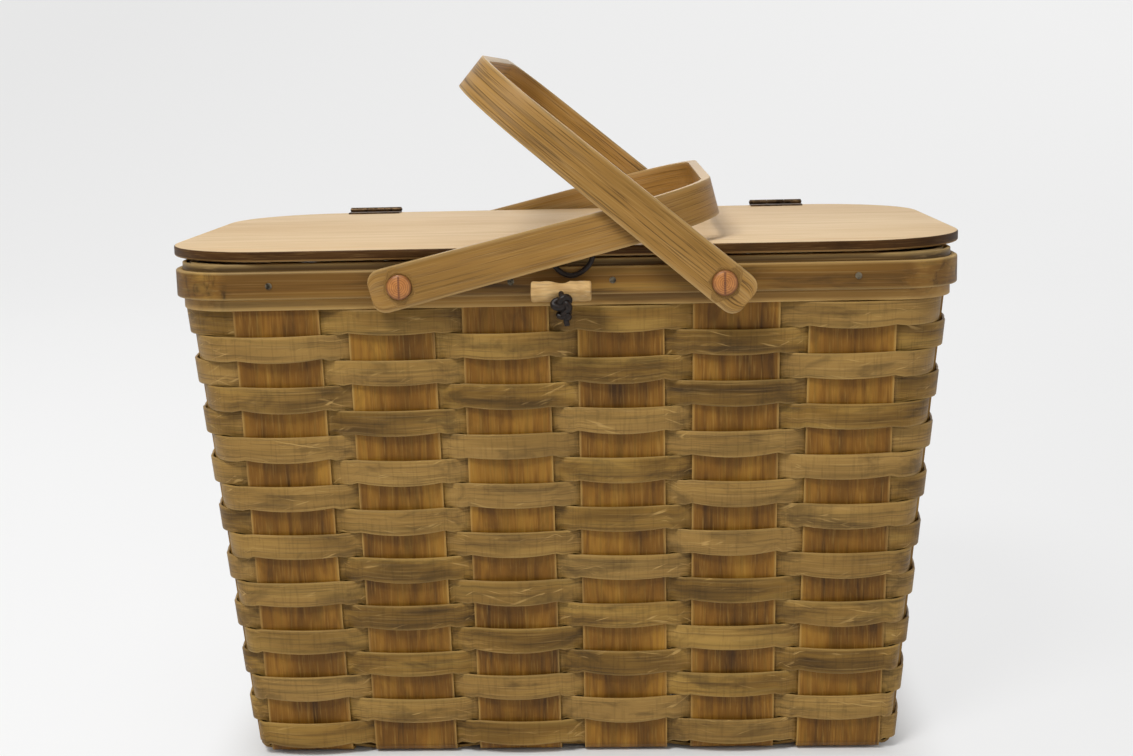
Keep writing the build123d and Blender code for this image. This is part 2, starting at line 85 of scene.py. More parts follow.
class Value:
    """A shader socket that takes part in Python expressions."""

    def __init__(self, sheet: "Sheet", socket: bpy.types.NodeSocket) -> None:
        """Keeps the socket and the sheet that it is on."""
        self.sheet = sheet
        self.socket = socket

    def maths(self, operation: str, *others: Term, flipped: bool = False) -> "Value":
        """Adds one Math node.

        Args:
            operation: The node's operation.
            others: The other terms.
            flipped: Whether this value comes second.

        Returns:
            The node's result.
        """
        terms = [self, *others]
        if flipped:
            terms = terms[::-1]
        return self.sheet.node("ShaderNodeMath", {"operation": operation}, dict(enumerate(terms)))

    def __add__(self, other: Term) -> "Value":
        """Sum."""
        return self.maths("ADD", other)

    def __radd__(self, other: float) -> "Value":
        """Sum with a number first."""
        return self.maths("ADD", other)

    def __sub__(self, other: Term) -> "Value":
        """Difference."""
        return self.maths("SUBTRACT", other)

    def __rsub__(self, other: float) -> "Value":
        """Difference with a number first."""
        return self.maths("SUBTRACT", other, flipped=True)

    def __mul__(self, other: Term) -> "Value":
        """Product."""
        return self.maths("MULTIPLY", other)

    def __rmul__(self, other: float) -> "Value":
        """Product with a number first."""
        return self.maths("MULTIPLY", other)

    def __truediv__(self, other: Term) -> "Value":
        """Quotient."""
        return self.maths("DIVIDE", other)

    def __pow__(self, other: float) -> "Value":
        """Power."""
        return self.maths("POWER", other)

    def size(self) -> "Value":
        """Absolute value."""
        return self.maths("ABSOLUTE")

    def clipped(self) -> "Value":
        """The value kept between 0 and 1."""
        return self.maths("MAXIMUM", 0.0).maths("MINIMUM", 1.0)

    def step(self, low: float, high: float) -> "Value":
        """Smooth step from 0 at low to 1 at high.

        Args:
            low: Value that gives 0.
            high: Value that gives 1.

        Returns:
            The step.
        """
        settings = {"interpolation_type": "SMOOTHSTEP"}
        return self.sheet.node("ShaderNodeMapRange", settings, {0: self, 1: low, 2: high, 3: 0.0, 4: 1.0})


Axes = tuple[Value, Value, Value]


class Source(Enum):
    """What a pattern follows: a strip's own length, or the object across one axis."""

    STRIP = "strip"
    ACROSS_X = "x"
    ACROSS_Y = "y"
    ACROSS_Z = "z"


class Sheet:
    """The node sheet of one material."""

    def __init__(self, name: str) -> None:
        """Makes an empty material.

        Args:
            name: The material's name.
        """
        self.material = bpy.data.materials.new(name)
        self.material.use_nodes = True
        self.tree = self.material.node_tree
        self.tree.nodes.clear()

    def node(self, kind: str, settings: Optional[dict] = None, sockets: Optional[dict] = None,
             out: Union[int, str] = 0) -> Value:
        """Adds a node.

        Args:
            kind: The node's type.
            settings: Properties, set first; "stops" fills a ramp with (place, colour) pairs.
            sockets: Values or links of its input sockets, by name or index.
            out: The output that is returned.

        Returns:
            That output as a value.
        """
        made = self.tree.nodes.new(kind)
        for name, value in (settings or {}).items():
            if name == "stops":
                self.fill_ramp(made.color_ramp, value)
            else:
                setattr(made, name, value)
        for name, value in (sockets or {}).items():
            if isinstance(value, Value):
                self.tree.links.new(value.socket, made.inputs[name])
            else:
                wide = made.inputs[name].type == "RGBA" and len(value) == 3
                made.inputs[name].default_value = (*value, 1.0) if wide else value
        return Value(self, made.outputs[out])

    @staticmethod
    def fill_ramp(ramp: bpy.types.ColorRamp, stops: Sequence[tuple[float, Colour]]) -> None:
        """Sets a colour ramp's stops.

        Args:
            ramp: The ramp.
            stops: Place and colour of each stop, in order.
        """
        while len(ramp.elements) < len(stops):
            ramp.elements.new(0.5)
        for element, (place, colour) in zip(ramp.elements, stops):
            element.position = place
            element.color = (*colour, 1.0)

    def coordinates(self, source: Source = Source.ACROSS_X) -> Axes:
        """The three coordinates that a pattern follows.

        Args:
            source: Says whether they are the piece's own UV map or object coordinates.

        Returns:
            The coordinates, in metres.
        """
        output = "UV" if source is Source.STRIP else "Object"
        where = self.node("ShaderNodeTexCoord", out=output)
        parts = self.node("ShaderNodeSeparateXYZ", sockets={0: where}).socket.node.outputs
        return tuple(Value(self, part) for part in parts)

    def attribute(self, name: str) -> Value:
        """A number that the mesh carries under that name."""
        return self.node("ShaderNodeAttribute", {"attribute_name": name}, out="Fac")

    def noise(self, axes: Axes, waves: Optional[Sequence[float]] = None, detail: float = 2.0,
              warp: float = 0.0, rough: float = 0.5) -> Value:
        """Smooth noise between 0 and 1.

        Args:
            axes: Its three coordinates.
            waves: Waves per metre along each of them, or nothing where they are already scaled.
            detail: Octaves.
            warp: Distortion.
            rough: How strong the fine octaves are.

        Returns:
            The noise.
        """
        scaled = [axis * wave for axis, wave in zip(axes, waves)] if waves else axes
        where = self.node("ShaderNodeCombineXYZ", sockets=dict(enumerate(scaled)))
        sockets = {"Vector": where, "Scale": 1.0, "Detail": detail, "Distortion": warp, "Roughness": rough}
        return self.node("ShaderNodeTexNoise", sockets=sockets)

    def ramp(self, value: Value, *stops: tuple[float, Colour]) -> Value:
        """Colour ramp of a value."""
        return self.node("ShaderNodeValToRGB", {"stops": stops}, {0: value})

    def blend(self, share: Term, under: Union[Value, Colour], over: Union[Value, Colour]) -> Value:
        """Mixes two colours.

        Args:
            share: How much of the second shows.
            under: The first colour.
            over: The second colour.

        Returns:
            The mixed colour.
        """
        settings = {"data_type": "RGBA", "blend_type": "MIX"}
        return self.node("ShaderNodeMix", settings, {0: share, 6: under, 7: over}, out=2)

    def finish(self, surface: dict, height: Value, depth: float) -> bpy.types.Material:
        """Closes the sheet with one surface shader.

        Args:
            surface: Values of the shader's sockets.
            height: Relief of the surface, 0 to 1.
            depth: The relief's depth in metres.

        Returns:
            The material.
        """
        bump = self.node("ShaderNodeBump", sockets={"Strength": 1.0, "Distance": depth, "Height": height})
        return self.close(self.node("ShaderNodeBsdfPrincipled", sockets={**surface, "Normal": bump}))

    def close(self, shader: Value) -> bpy.types.Material:
        """Links a shader to the material's output.

        Args:
            shader: The shader.

        Returns:
            The material.
        """
        output = self.tree.nodes.new("ShaderNodeOutputMaterial")
        self.tree.links.new(shader.socket, output.inputs[0])
        return self.material


@dataclass(frozen=True)
class Battens:
    """Where parallel staves lie, so that their long edges can be told from their middles."""

    spacing_floor: float
    spacing_rim: float
    height: float
    shift: float
    half_width: float

    def edge(self, sheet: Sheet, across: Value) -> Value:
        """Mask of the staves' long edges, which are paled partly by wear and partly by painted highlight.

        Args:
            sheet: The material's sheet.
            across: Coordinate across the staves.

        Returns:
            The mask, 1 at the edges.
        """
        up = sheet.coordinates()[2]
        spacing = self.spacing_floor + up * ((self.spacing_rim - self.spacing_floor) / self.height)
        places = across / spacing - self.shift
        offset = (places - places.maths("ROUND")).size() * spacing
        return offset.step(self.half_width * 0.93, self.half_width * 0.995)


@dataclass(frozen=True)
class Marks:
    """Marks on wood, from a noise with its waves per metre along, across and square to the grain."""

    along: float
    across: float
    level: float
    low: float
    high: float
    detail: float = 2.0
    warp: float = 0.0
    rough: float = 0.5
    shift: float = 0.0
    slant_along: float = 0.0
    slant_across: float = 0.0
    depth: float = 0.0

    def mask(self, sheet: Sheet, grain: Axes) -> Value:
        """Where the marks are.

        Args:
            sheet: The material's sheet.
            grain: Coordinates along, across and square to the grain.

        Returns:
            Their mask, 1 on a mark.
        """
        along, across, level = grain
        turned = (along * self.along + across * self.slant_along,
                  across * self.across + along * self.slant_across,
                  level * self.level + self.shift)
        noise = sheet.noise(turned, detail=self.detail, warp=self.warp, rough=self.rough)
        return noise.step(self.low, self.high)


STAINS = Marks(26.0, 75.0, 50.0, 0.48, 0.72, detail=4.0, warp=0.8, rough=0.6, shift=3.0)
PORES = Marks(16.0, 1150.0, 500.0, 0.53, 0.66, warp=0.2, depth=0.5)
SAW_MARKS = Marks(700.0, 55.0, 55.0, 0.50, 0.72, detail=1.0, warp=0.2, depth=0.35)
FALLING_SCRATCHES = Marks(34.0, 420.0, 40.0, 0.62, 0.74, warp=0.3, slant_along=75.0, slant_across=-150.0)
RISING_SCRATCHES = Marks(30.0, 520.0, 40.0, 0.63, 0.75, warp=0.3, shift=9.0,
                         slant_along=-60.0, slant_across=120.0)
SCRATCHED_PLACES = Marks(24.0, 90.0, 31.0, 0.46, 0.62)


@dataclass(frozen=True)
class Wood:
    """Satin wood with its grain along the piece.

    Names that end in share say how strongly a mark or tone shows, from 0 to 1. The fine, coarse,
    along and patch values are waves per metre of its fibres, bands and patches.
    """

    name: str
    tones: tuple[str, ...]
    streak: str
    source: Source = Source.STRIP
    fleck: str = "d9b777"
    other: str = ""
    # Colour of the pale long edges: partly wear, partly painted highlight where the rounded edges catch the
    # light.
    edge: str = ""
    fine: float = 900.0
    coarse: float = 170.0
    along: float = 9.0
    patch: float = 7.0
    streak_share: float = 0.55
    light_share: float = 0.3
    fleck_share: float = 0.0
    stain_share: float = 0.0
    pore_share: float = 0.0
    saw_share: float = 0.0
    other_tone_and_shade_share: float = 0.7
    edge_wear_and_highlight_share: float = 0.35
    rough: float = 0.5
    relief: float = 0.00016
    gloss: float = 0.25
    coat: float = 0.03
    pale_below: float = 0.0
    battens: Optional[Battens] = None

    def material(self) -> bpy.types.Material:
        """Builds the material.

        Returns:
            The material.
        """
        sheet = Sheet(self.name)
        grain = self.grain_axes(sheet)
        fibres = sheet.noise(grain, (3 * self.along, self.fine, self.fine), 3.0)
        bands = sheet.noise(grain, (self.along, self.coarse, self.coarse), 3.0, 0.6)
        patches = sheet.noise(grain, (self.patch, 3 * self.patch, 3 * self.patch), 3.0)
        colour = self.plain_colour(sheet, fibres, bands, patches)
        relief = fibres * 0.5 + bands * 0.5
        shown = ((STAINS, self.stain_share), (PORES, self.pore_share), (SAW_MARKS, self.saw_share))
        for marks, share in shown:
            if share:
                mask = marks.mask(sheet, grain)
                colour = sheet.blend(mask * share, colour, tint(self.streak))
                relief = relief - mask * marks.depth
        colour = self.wear_and_highlight_colour(sheet, grain, colour, bands)
        rough = self.rough + (bands - 0.5) * 0.25
        surface = {"Base Color": colour, "Roughness": rough, "Specular IOR Level": self.gloss,
                   "Coat Weight": self.coat, "Coat Roughness": 0.4}
        return sheet.finish(surface, relief, self.relief)

    def plain_colour(self, sheet: Sheet, fibres: Value, bands: Value, patches: Value) -> Value:
        """Colour of the wood before its marks and wear.

        Args:
            sheet: The material's sheet.
            fibres: Fine noise along the grain.
            bands: Coarser noise along the grain.
            patches: Broad noise.

        Returns:
            The colour.
        """
        last = len(self.tones) - 1
        stops = [(0.32 + 0.36 * number / last, tint(tone)) for number, tone in enumerate(self.tones)]
        colour = sheet.ramp(patches * 0.55 + bands * 0.45, *stops)
        # The other colour is a random tone on the weavers, and painted shade towards the top on the rim
        # bands.
        if self.other:
            share = sheet.attribute("tone") * self.other_tone_and_shade_share + (patches - 0.5) * 0.9
            colour = sheet.blend(share.clipped(), colour, tint(self.other))
        dark_lines = bands.step(0.50, 0.70) * (0.4 + fibres * 0.6)
        colour = sheet.blend(dark_lines * self.streak_share, colour, tint(self.streak))
        light_lines = fibres.step(0.50, 0.78) * self.light_share
        return sheet.blend(light_lines, colour, tint(self.fleck))

    def wear_and_highlight_colour(self, sheet: Sheet, grain: Axes, colour: Value, bands: Value) -> Value:
        """Adds a paler strip along the bottom, scratches, and pale long edges that are partly wear and
        partly painted highlight, to the colour.

        Args:
            sheet: The material's sheet.
            grain: Coordinates along, across and square to the grain.
            colour: The colour so far.
            bands: Coarse noise along the grain.

        Returns:
            The colour.
        """
        if self.pale_below:
            low = 1.0 - grain[1].step(self.pale_below - 0.0002, self.pale_below + 0.0003)
            colour = sheet.blend(low * 0.8, colour, tint(self.fleck))
        if self.fleck_share:
            falling, rising, places = (marks.mask(sheet, grain) for marks in
                                       (FALLING_SCRATCHES, RISING_SCRATCHES, SCRATCHED_PLACES))
            flecks = ((falling + rising) * places).clipped()
            colour = sheet.blend(flecks * self.fleck_share, colour, tint(self.fleck))
        mask = self.edge_wear_and_highlight_mask(sheet, grain[1])
        if mask is None:
            return colour
        # Painted highlight and wear: the long edges pale towards the edge colour.
        share = (mask * (0.25 + bands * 1.1) * self.edge_wear_and_highlight_share).clipped()
        return sheet.blend(share, colour, tint(self.edge or self.streak))

    def edge_wear_and_highlight_mask(self, sheet: Sheet, across: Value) -> Optional[Value]:
        """Mask of the piece's long edges, which are partly worn and partly carry a painted highlight.

        Args:
            sheet: The material's sheet.
            across: Coordinate across the grain.

        Returns:
            The mask, or nothing where the edges aren't told apart.
        """
        if not self.edge_wear_and_highlight_share:
            return None
        if self.battens is not None:
            return self.battens.edge(sheet, across)
        if self.source is Source.STRIP:
            return sheet.attribute("across").size().step(0.78, 1.0)
        return None

    def grain_axes(self, sheet: Sheet) -> Axes:
        """Coordinates along the grain, across it and square to both.

        Args:
            sheet: The material's sheet.

        Returns:
            The three coordinates, in metres.
        """
        x, y, z = sheet.coordinates(self.source)
        if self.source is Source.ACROSS_X:
            return z + y, x, (z - y) * 0.04
        if self.source is Source.ACROSS_Y:
            return x + z, y, (z - x) * 0.04
        if self.source is Source.ACROSS_Z:
            return x + y, z, (x - y) * 0.04
        return x, y, sheet.attribute("seed")


# The pale edge colours below mark long edges that are partly worn and partly painted highlight.
WEAVER_WOOD = Wood("weaver_splint", ("4c340c", "866327", "bd9647"), "2a1b05", fleck="c7a260",
                   other="a68246", edge="b08f52", patch=14.0, streak_share=0.5, fleck_share=0.7,
                   stain_share=0.5, pore_share=0.3, saw_share=0.15, edge_wear_and_highlight_share=0.5)
STAVE_WOOD = Wood("stave_splint", ("4c2f07", "835718", "b3822e"), "2f1b04", fleck="b48c42", edge="c29c58",
                  coarse=330.0, along=14.0, patch=16.0, streak_share=0.6, light_share=0.4,
                  stain_share=0.35, edge_wear_and_highlight_share=0.6)
# Painted shade: the band's dark other colour shows more towards its top, under the lid.
BAND_WOOD = Wood("rim_band_wood_finish", ("755120", "a97f3c", "c9a15c"), "2e1d08", fleck="c3a065",
                 other="3d2c10", edge="c8a66a", coarse=240.0, patch=10.0, stain_share=0.4,
                 other_tone_and_shade_share=1.0, edge_wear_and_highlight_share=0.6)
HOOP_WOOD = Wood("rim_hoop_wood_finish", ("452c08", "7c561e", "ad843b"), "231504", fleck="b4925a",
                 edge="c4a468", coarse=300.0, patch=11.0, streak_share=0.65, stain_share=0.75,
                 edge_wear_and_highlight_share=0.65)
LID_WOOD = Wood("lid_board_finish", ("cba97c", "d6b88e", "e2c8a2"), "b08a5a", Source.ACROSS_Y,
                fleck="e9d3b0", fine=700.0, coarse=60.0, along=2.2, patch=3.0, streak_share=0.45,
                pore_share=0.25, edge_wear_and_highlight_share=0.0, rough=0.6, relief=0.00008, gloss=0.12, coat=0.0)
LID_EDGE_WOOD = Wood("lid_edge_finish", ("2e1d08", "462c11", "604222"), "1e1206", Source.ACROSS_Z,
                     fleck="9b7746", fine=1600.0, coarse=600.0, stain_share=0.4, gloss=0.1, coat=0.0)
HANDLE_WOOD = Wood("handle_wood_finish", ("7c5a25", "9f7639", "bb935a"), "4e320f", fleck="cfac6c",
                   edge="cdb07c", fine=1100.0, coarse=330.0, along=5.0, edge_wear_and_highlight_share=0.45, rough=0.45)
TOGGLE_WOOD = Wood("toggle_wood_finish", ("b78f56", "d2ac72", "e3c490"), "7a5526", Source.ACROSS_Z,
                   fleck="efdcb4", coarse=420.0, along=60.0, patch=60.0, stain_share=0.5,
                   pore_share=0.3, rough=0.6)


@dataclass(frozen=True)
class PegEnd:
    """End grain of the handle pegs, with rings round each peg's own axis."""

    name: str
    spread: float
    height: float
    radius: float = 0.0072
    painted_shade_rim: float = 0.002
    dome: float = 14.0
    ring_waves: float = 5200.0
    light: str = "cb8640"
    dark: str = "985a22"
    # Colour of the painted shade ring round the peg's edge.
    rim: str = "4a2410"
    pore: str = "d09a60"

    def material(self) -> bpy.types.Material:
        """Builds the material.

        Returns:
            The material.
        """
        sheet = Sheet(self.name)
        x, y, z = axes = sheet.coordinates()
        side = x.size() - self.spread
        up = z - self.height
        reach = (side * side + up * up) ** 0.5
        blotch = sheet.noise(axes, (320.0, 60.0, 320.0), 3.0, 0.4)
        rings = (reach * self.ring_waves + blotch * 5.0).maths("SINE") * 0.5 + 0.5
        pores = sheet.noise(axes, (2400.0, 90.0, 2400.0))
        colour = sheet.ramp(blotch * 0.7 + rings * 0.3, (0.25, tint(self.dark)), (0.75, tint(self.light)))
        # Painted shade: a dark ring round the edge of the peg's end, where it stands out of the handle.
        rim = reach.step(self.radius - self.painted_shade_rim, self.radius)
        colour = sheet.blend(rim * 0.55, colour, tint(self.rim))
        colour = sheet.blend(pores.step(0.6, 0.8) * 0.35, colour, tint(self.pore))
        share = reach / self.radius
        relief = (1.0 - share * share).clipped() * self.dome + rings * 0.3 + pores * 0.6
        surface = {"Base Color": colour, "Roughness": 0.32 + blotch * 0.2, "Coat Weight": 0.15}
        return sheet.finish(surface, relief, 0.00012)


@dataclass(frozen=True)
class Leather:
    """Dark waxed leather cord."""

    name: str
    dark: str = "0f0a07"
    light: str = "2e1f16"
    gloss: float = 0.3
    relief: float = 0.0002

    def material(self) -> bpy.types.Material:
        """Builds the material.

        Returns:
            The material.
        """
        sheet = Sheet(self.name)
        axes = sheet.coordinates()
        folds = sheet.noise(axes, (900.0, 900.0, 900.0), 3.0, 0.5)
        pores = sheet.noise(axes, (4200.0, 4200.0, 4200.0), 1.0)
        colour = sheet.ramp(folds, (0.35, tint(self.dark)), (0.75, tint(self.light)))
        surface = {"Base Color": colour, "Roughness": 0.24 + folds * 0.3, "Specular IOR Level": self.gloss}
        return sheet.finish(surface, folds * 0.7 + pores * 0.3, self.relief)


@dataclass(frozen=True)
class AgedMetal:
    """Dulled brass or iron with darker blotches."""

    name: str
    bright: str
    dull: str
    rough: float = 0.42
    relief: float = 0.00006

    def material(self) -> bpy.types.Material:
        """Builds the material.

        Returns:
            The material.
        """
        sheet = Sheet(self.name)
        axes = sheet.coordinates()
        blotch = sheet.noise(axes, (260.0, 260.0, 260.0), 4.0, 0.8)
        marks = sheet.noise(axes, (2600.0, 380.0, 2600.0))
        surface = {"Base Color": sheet.ramp(blotch, (0.35, tint(self.dull)), (0.72, tint(self.bright))),
                   "Roughness": self.rough + (marks - 0.5) * 0.25,
                   "Metallic": 0.95 - blotch.step(0.35, 0.6) * 0.25}
        return sheet.finish(surface, marks * 0.5 + blotch * 0.5, self.relief)


@dataclass(frozen=True)
class Backdrop:
    """White sweep behind and under the basket, with painted shade that makes it greyer at the upper left
    and lower right.

    The near and far values are its brightness, as seen, where it is whitest and greyest. It shows
    the lamps' own shadow inside the footprint's half sizes, and that brightness outside them.
    """

    name: str = "backdrop_paper"
    colour: str = "e9e9e8"
    near: float = 0.97
    far: float = 0.87
    share: float = 0.85
    footprint: tuple[float, float] = (0.205, 0.135)
    shadow_ends: tuple[float, float] = (0.84, 1.14)
    viewer: float = 1.08

    def material(self) -> bpy.types.Material:
        """Builds the material.

        Returns:
            The material.
        """
        sheet = Sheet(self.name)
        x, y, z = axes = sheet.coordinates()
        aside = x / (y + self.viewer).maths("MAXIMUM", 0.8)
        # Painted light: the seen glow fades from the near to the far brightness across the sweep, with soft
        # clouds of painted shade.
        fade = (0.45 - aside * (z + (y - 2.2) * 0.4) * 2.0 * y.step(-0.9, 0.2)).clipped()
        clouds = sheet.noise(axes, (0.8, 0.8, 0.8), 1.0)
        white = sheet.ramp(fade * 0.85 + clouds * 0.15, (0.0, (self.near,) * 3), (1.0, (self.far,) * 3))
        paper = sheet.node("ShaderNodeBsdfDiffuse", sockets={"Color": tint(self.colour)})
        glow = sheet.node("ShaderNodeEmission", sockets={"Color": white, "Strength": 1.0})
        rays = sheet.node("ShaderNodeLightPath").socket.node.outputs
        seen = Value(sheet, rays["Is Camera Ray"])
        for name in ("Is Glossy Ray", "Is Transmission Ray"):
            seen = seen.maths("MAXIMUM", Value(sheet, rays[name]))
        wide, deep = self.footprint
        apart = (x.size() / wide).maths("MAXIMUM", y.size() / deep) + z * 20.0
        lit = apart.step(*self.shadow_ends) * self.share
        return sheet.close(sheet.node("ShaderNodeMixShader", sockets={0: seen * lit, 1: paper, 2: glow}))


class Bench:
    """Modelling steps that the sub-assemblies share."""

    @staticmethod
    def add(operator: Callable, name: str, **settings: object) -> bpy.types.Object:
        """Adds a primitive, alone in the selection.

        Args:
            operator: The primitive's operator.
            name: The new object's name.
            settings: The operator's settings.

        Returns:
            The new object.
        """
        bpy.ops.object.select_all(action="DESELECT")
        operator(**settings)
        made = bpy.context.active_object
        made.name = name
        made.data.name = name
        return made

    @staticmethod
    def choose(piece: bpy.types.Object) -> None:
        """Makes a piece the only selected and active one.

        Args:
            piece: The piece.
        """
        bpy.ops.object.select_all(action="DESELECT")
        piece.select_set(True)
        bpy.context.view_layer.objects.active = piece

    @classmethod
    def fix_place(cls, piece: bpy.types.Object) -> None:
        """Puts a piece's place, turn and size in its mesh."""
        cls.choose(piece)
        bpy.ops.object.transform_apply(location=True, rotation=True, scale=True)

    @classmethod
    def edit(cls, piece: bpy.types.Object, mode: str, test: Callable[[object], bool],
             *steps: tuple[Callable, dict]) -> None:
        """Selects parts of a mesh by a test and runs edit-mode steps on them.

        Args:
            piece: The piece.
            mode: VERT, EDGE or FACE.
            test: Says which vertices, edges or faces are selected.
            steps: Operators with their settings.
        """
        cls.choose(piece)
        bpy.ops.object.mode_set(mode="EDIT")
        bpy.ops.mesh.select_mode(type=mode)
        bpy.ops.mesh.select_all(action="DESELECT")
        mesh = bmesh.from_edit_mesh(piece.data)
        group = {"VERT": mesh.verts, "EDGE": mesh.edges, "FACE": mesh.faces}[mode]
        for part in group:
            if test(part):
                part.select_set(True)
        mesh.select_flush_mode()
        bmesh.update_edit_mesh(piece.data)
        for operator, settings in steps:
            operator(**settings)
        bpy.ops.object.mode_set(mode="OBJECT")

    @classmethod
    def apply(cls, piece: bpy.types.Object, kind: str, **settings: object) -> None:
        """Adds a modifier and applies it.

        Args:
            piece: The piece.
            kind: The modifier's type.
            settings: Its properties.
        """
        cls.choose(piece)
        modifier = piece.modifiers.new(kind.lower(), kind)
        for name, value in settings.items():
            setattr(modifier, name, value)
        bpy.ops.object.modifier_apply(modifier=modifier.name)

    @classmethod
    def ease(cls, piece: bpy.types.Object, edge: float, segments: int, angle: float = 50.0) -> None:
        """Rounds a piece's sharp edges.

        Args:
            piece: The piece.
            edge: How far they are rounded.
            segments: Faces across each rounding.
            angle: Edges flatter than this stay, in degrees.
        """
        cls.apply(piece, "BEVEL", width=edge, segments=segments, limit_method="ANGLE",
                  angle_limit=radians(angle))

    @classmethod
    def settle(cls, piece: bpy.types.Object, body: str, slot: str, material: bpy.types.Material,
               *nodes: str, angle: float = 40.0) -> None:
        """Puts a finished piece's place in its mesh, dresses it and hands it over.

        Args:
            piece: The piece.
            body: The body that it rides on.
            slot: Name of a material slot; not used.
            material: Its material.
            nodes: The solid parts that it stands for.
            angle: Edges flatter than this are smooth, in degrees.
        """
        cls.fix_place(piece)
        bpy.ops.object.shade_smooth_by_angle(angle=radians(angle))
        if not piece.data.materials:
            piece.data.materials.append(material)
        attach(piece, body)
        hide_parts(*nodes)
        log.info("%s: %d faces on %s", piece.name, len(piece.data.polygons), body)

    @classmethod
    def strip(cls, name: str, columns: int, rows: int, place: Place, length: float, width: float,
              seed: float, tone: Callable[[float, float], float], closed: bool) -> bpy.types.Object:
        """Thin strip of wood laid along a path, with its UV map in metres along and across it.

        Args:
            name: The piece's name.
            columns: Faces along the strip.
            rows: Faces across it.
            place: Gives the point at a share of the length and a share of the width.
            length: Length of the strip.
            width: Width of the strip.
            seed: Shifts the grain, so that no two strips are alike.
            tone: Gives how much of the wood's other colour shows at a share of the length and width.
            closed: Whether its ends meet.

        Returns:
            The strip, with no thickness yet.
        """
        grid = bpy.ops.mesh.primitive_grid_add
        piece = cls.add(grid, name, x_subdivisions=columns, y_subdivisions=rows, size=2, calc_uvs=True)
        mesh = piece.data
        uv = mesh.uv_layers.active.data
        shares = [((vertex.co.x + 1) / 2, (vertex.co.y + 1) / 2) for vertex in mesh.vertices]
        for loop in mesh.loops:
            share = shares[loop.vertex_index]
            uv[loop.index].uv = (share[0] * length + seed, share[1] * width)
        values = {"across": [2 * share[1] - 1 for share in shares],
                  "tone": [tone(*share) for share in shares],
                  "seed": [seed * 0.37] * len(shares)}
        for label, numbers in values.items():
            attribute = mesh.attributes.new(label, "FLOAT", "POINT")
            for item, number in zip(attribute.data, numbers):
                item.value = number
        for vertex, share in zip(mesh.vertices, shares):
            vertex.co = place(*share)
        if closed:
            merge = (bpy.ops.mesh.remove_doubles, {"threshold": SAME_PLACE})
            cls.edit(piece, "VERT", lambda part: True, merge)
        return piece

    @classmethod
    def thicken(cls, piece: bpy.types.Object, thickness: float) -> None:
        """Gives a strip its thickness, half to each side."""
        cls.apply(piece, "SOLIDIFY", thickness=thickness, offset=0.0, use_even_offset=True)

    @staticmethod
    def dress(names: Sequence[str], material: bpy.types.Material) -> None:
        """Gives solid parts that stay as they are a material.

        Args:
            names: The nodes.
            material: The material.
        """
        for name in names:
            node = frame["nodes"][name]
            node.data.materials.clear()
            node.data.materials.append(material)
            log.info("%s: dressed in %s", name, material.name)


@dataclass
class Wall:
    """Shape of the woven wall's middle surface, and where its staves stand."""

    rim_length: float = 0.460
    rim_depth: float = 0.280
    height: float = 0.304
    floor_length: float = 0.386
    floor_depth: float = 0.240
    corner_top: float = 0.031
    corner_floor: float = 0.007
    band_height: float = 0.027
    floor_mid: float = 0.001775
    hoop_outer: float = 0.0073
    stave_width: float = 0.050
    stave_thickness: float = 0.0016
    stave_margin: float = 0.0005
    stave_counts: tuple[int, int] = (6, 3)

    @property
    def rim_z(self) -> float:
        """Height of the rim bands' lower edge."""
        return self.height - self.band_height

    @property
    def staves_round(self) -> int:
        """How many staves stand round the wall."""
        return 2 * sum(self.stave_counts)

    def at(self, z: float) -> tuple[float, float, float]:
        """Half length, half depth and corner radius at a height.

        Args:
            z: The height.

        Returns:
            The three sizes.
        """
        share = min(max((z - self.floor_mid) / (self.rim_z - self.floor_mid), 0.0), 1.0)
        halves = []
        for floor, rim in ((self.floor_length, self.rim_length), (self.floor_depth, self.rim_depth)):
            halves.append(floor / 2 + (rim / 2 - self.hoop_outer - floor / 2) * share)
        return halves[0], halves[1], self.corner_floor + (self.corner_top - self.corner_floor) * share

    def stave_places(self, z: float, axis: int) -> list[float]:
        """Middles of one side's staves.

        Args:
            z: The height.
            axis: 0 for the front and back, 1 for the ends.

        Returns:
            Their places along X or Y.
        """
        sizes = self.at(z)
        reach = sizes[axis] - sizes[2] - self.stave_margin - self.stave_width / 2
        count = self.stave_counts[axis]
        return [reach * (2 * number / (count - 1) - 1) for number in range(count)]

    def stations(self, z: float) -> list[tuple[Vector, Vector, Vector]]:
        """Where the staves stand, anticlockwise from the front left.

        Args:
            z: The height.

        Returns:
            Middle, outward direction and forward direction at each stave.
        """
        length, depth, _ = self.at(z)
        sides = ((0, (0, -1), (1, 0)), (1, (1, 0), (0, 1)), (0, (0, 1), (-1, 0)), (1, (-1, 0), (0, -1)))
        made = []
        for axis, outward, forward in sides:
            face = Vector((outward[0] * length, outward[1] * depth))
            for place in self.stave_places(z, axis):
                made.append((face + Vector(forward) * place, Vector(outward), Vector(forward)))
        return made

    def battens(self, axis: int) -> Battens:
        """Where the staves of one direction lie.

        Args:
            axis: 0 for those of the front and back, 1 for those of the ends.

        Returns:
            Their places.
        """
        spacings = []
        for z in (self.floor_mid, self.rim_z):
            first, second = self.stave_places(z, axis)[:2]
            spacings.append(second - first)
        shift = 0.0 if self.stave_counts[axis] % 2 else 0.5
        return Battens(*spacings, self.rim_z, shift, self.stave_width / 2)


@dataclass(frozen=True)
class Sample:
    """A place along a row: across a stave (-1 to 1), or past it in the gap or corner (0 to 1)."""

    stave: int
    across: float = 1.0
    past: Optional[float] = None

    @property
    def turn(self) -> float:
        """1 where the row lies as on this stave, and -1 as on the next one."""
        return 1.0 if self.past is None else cos(self.past * pi)


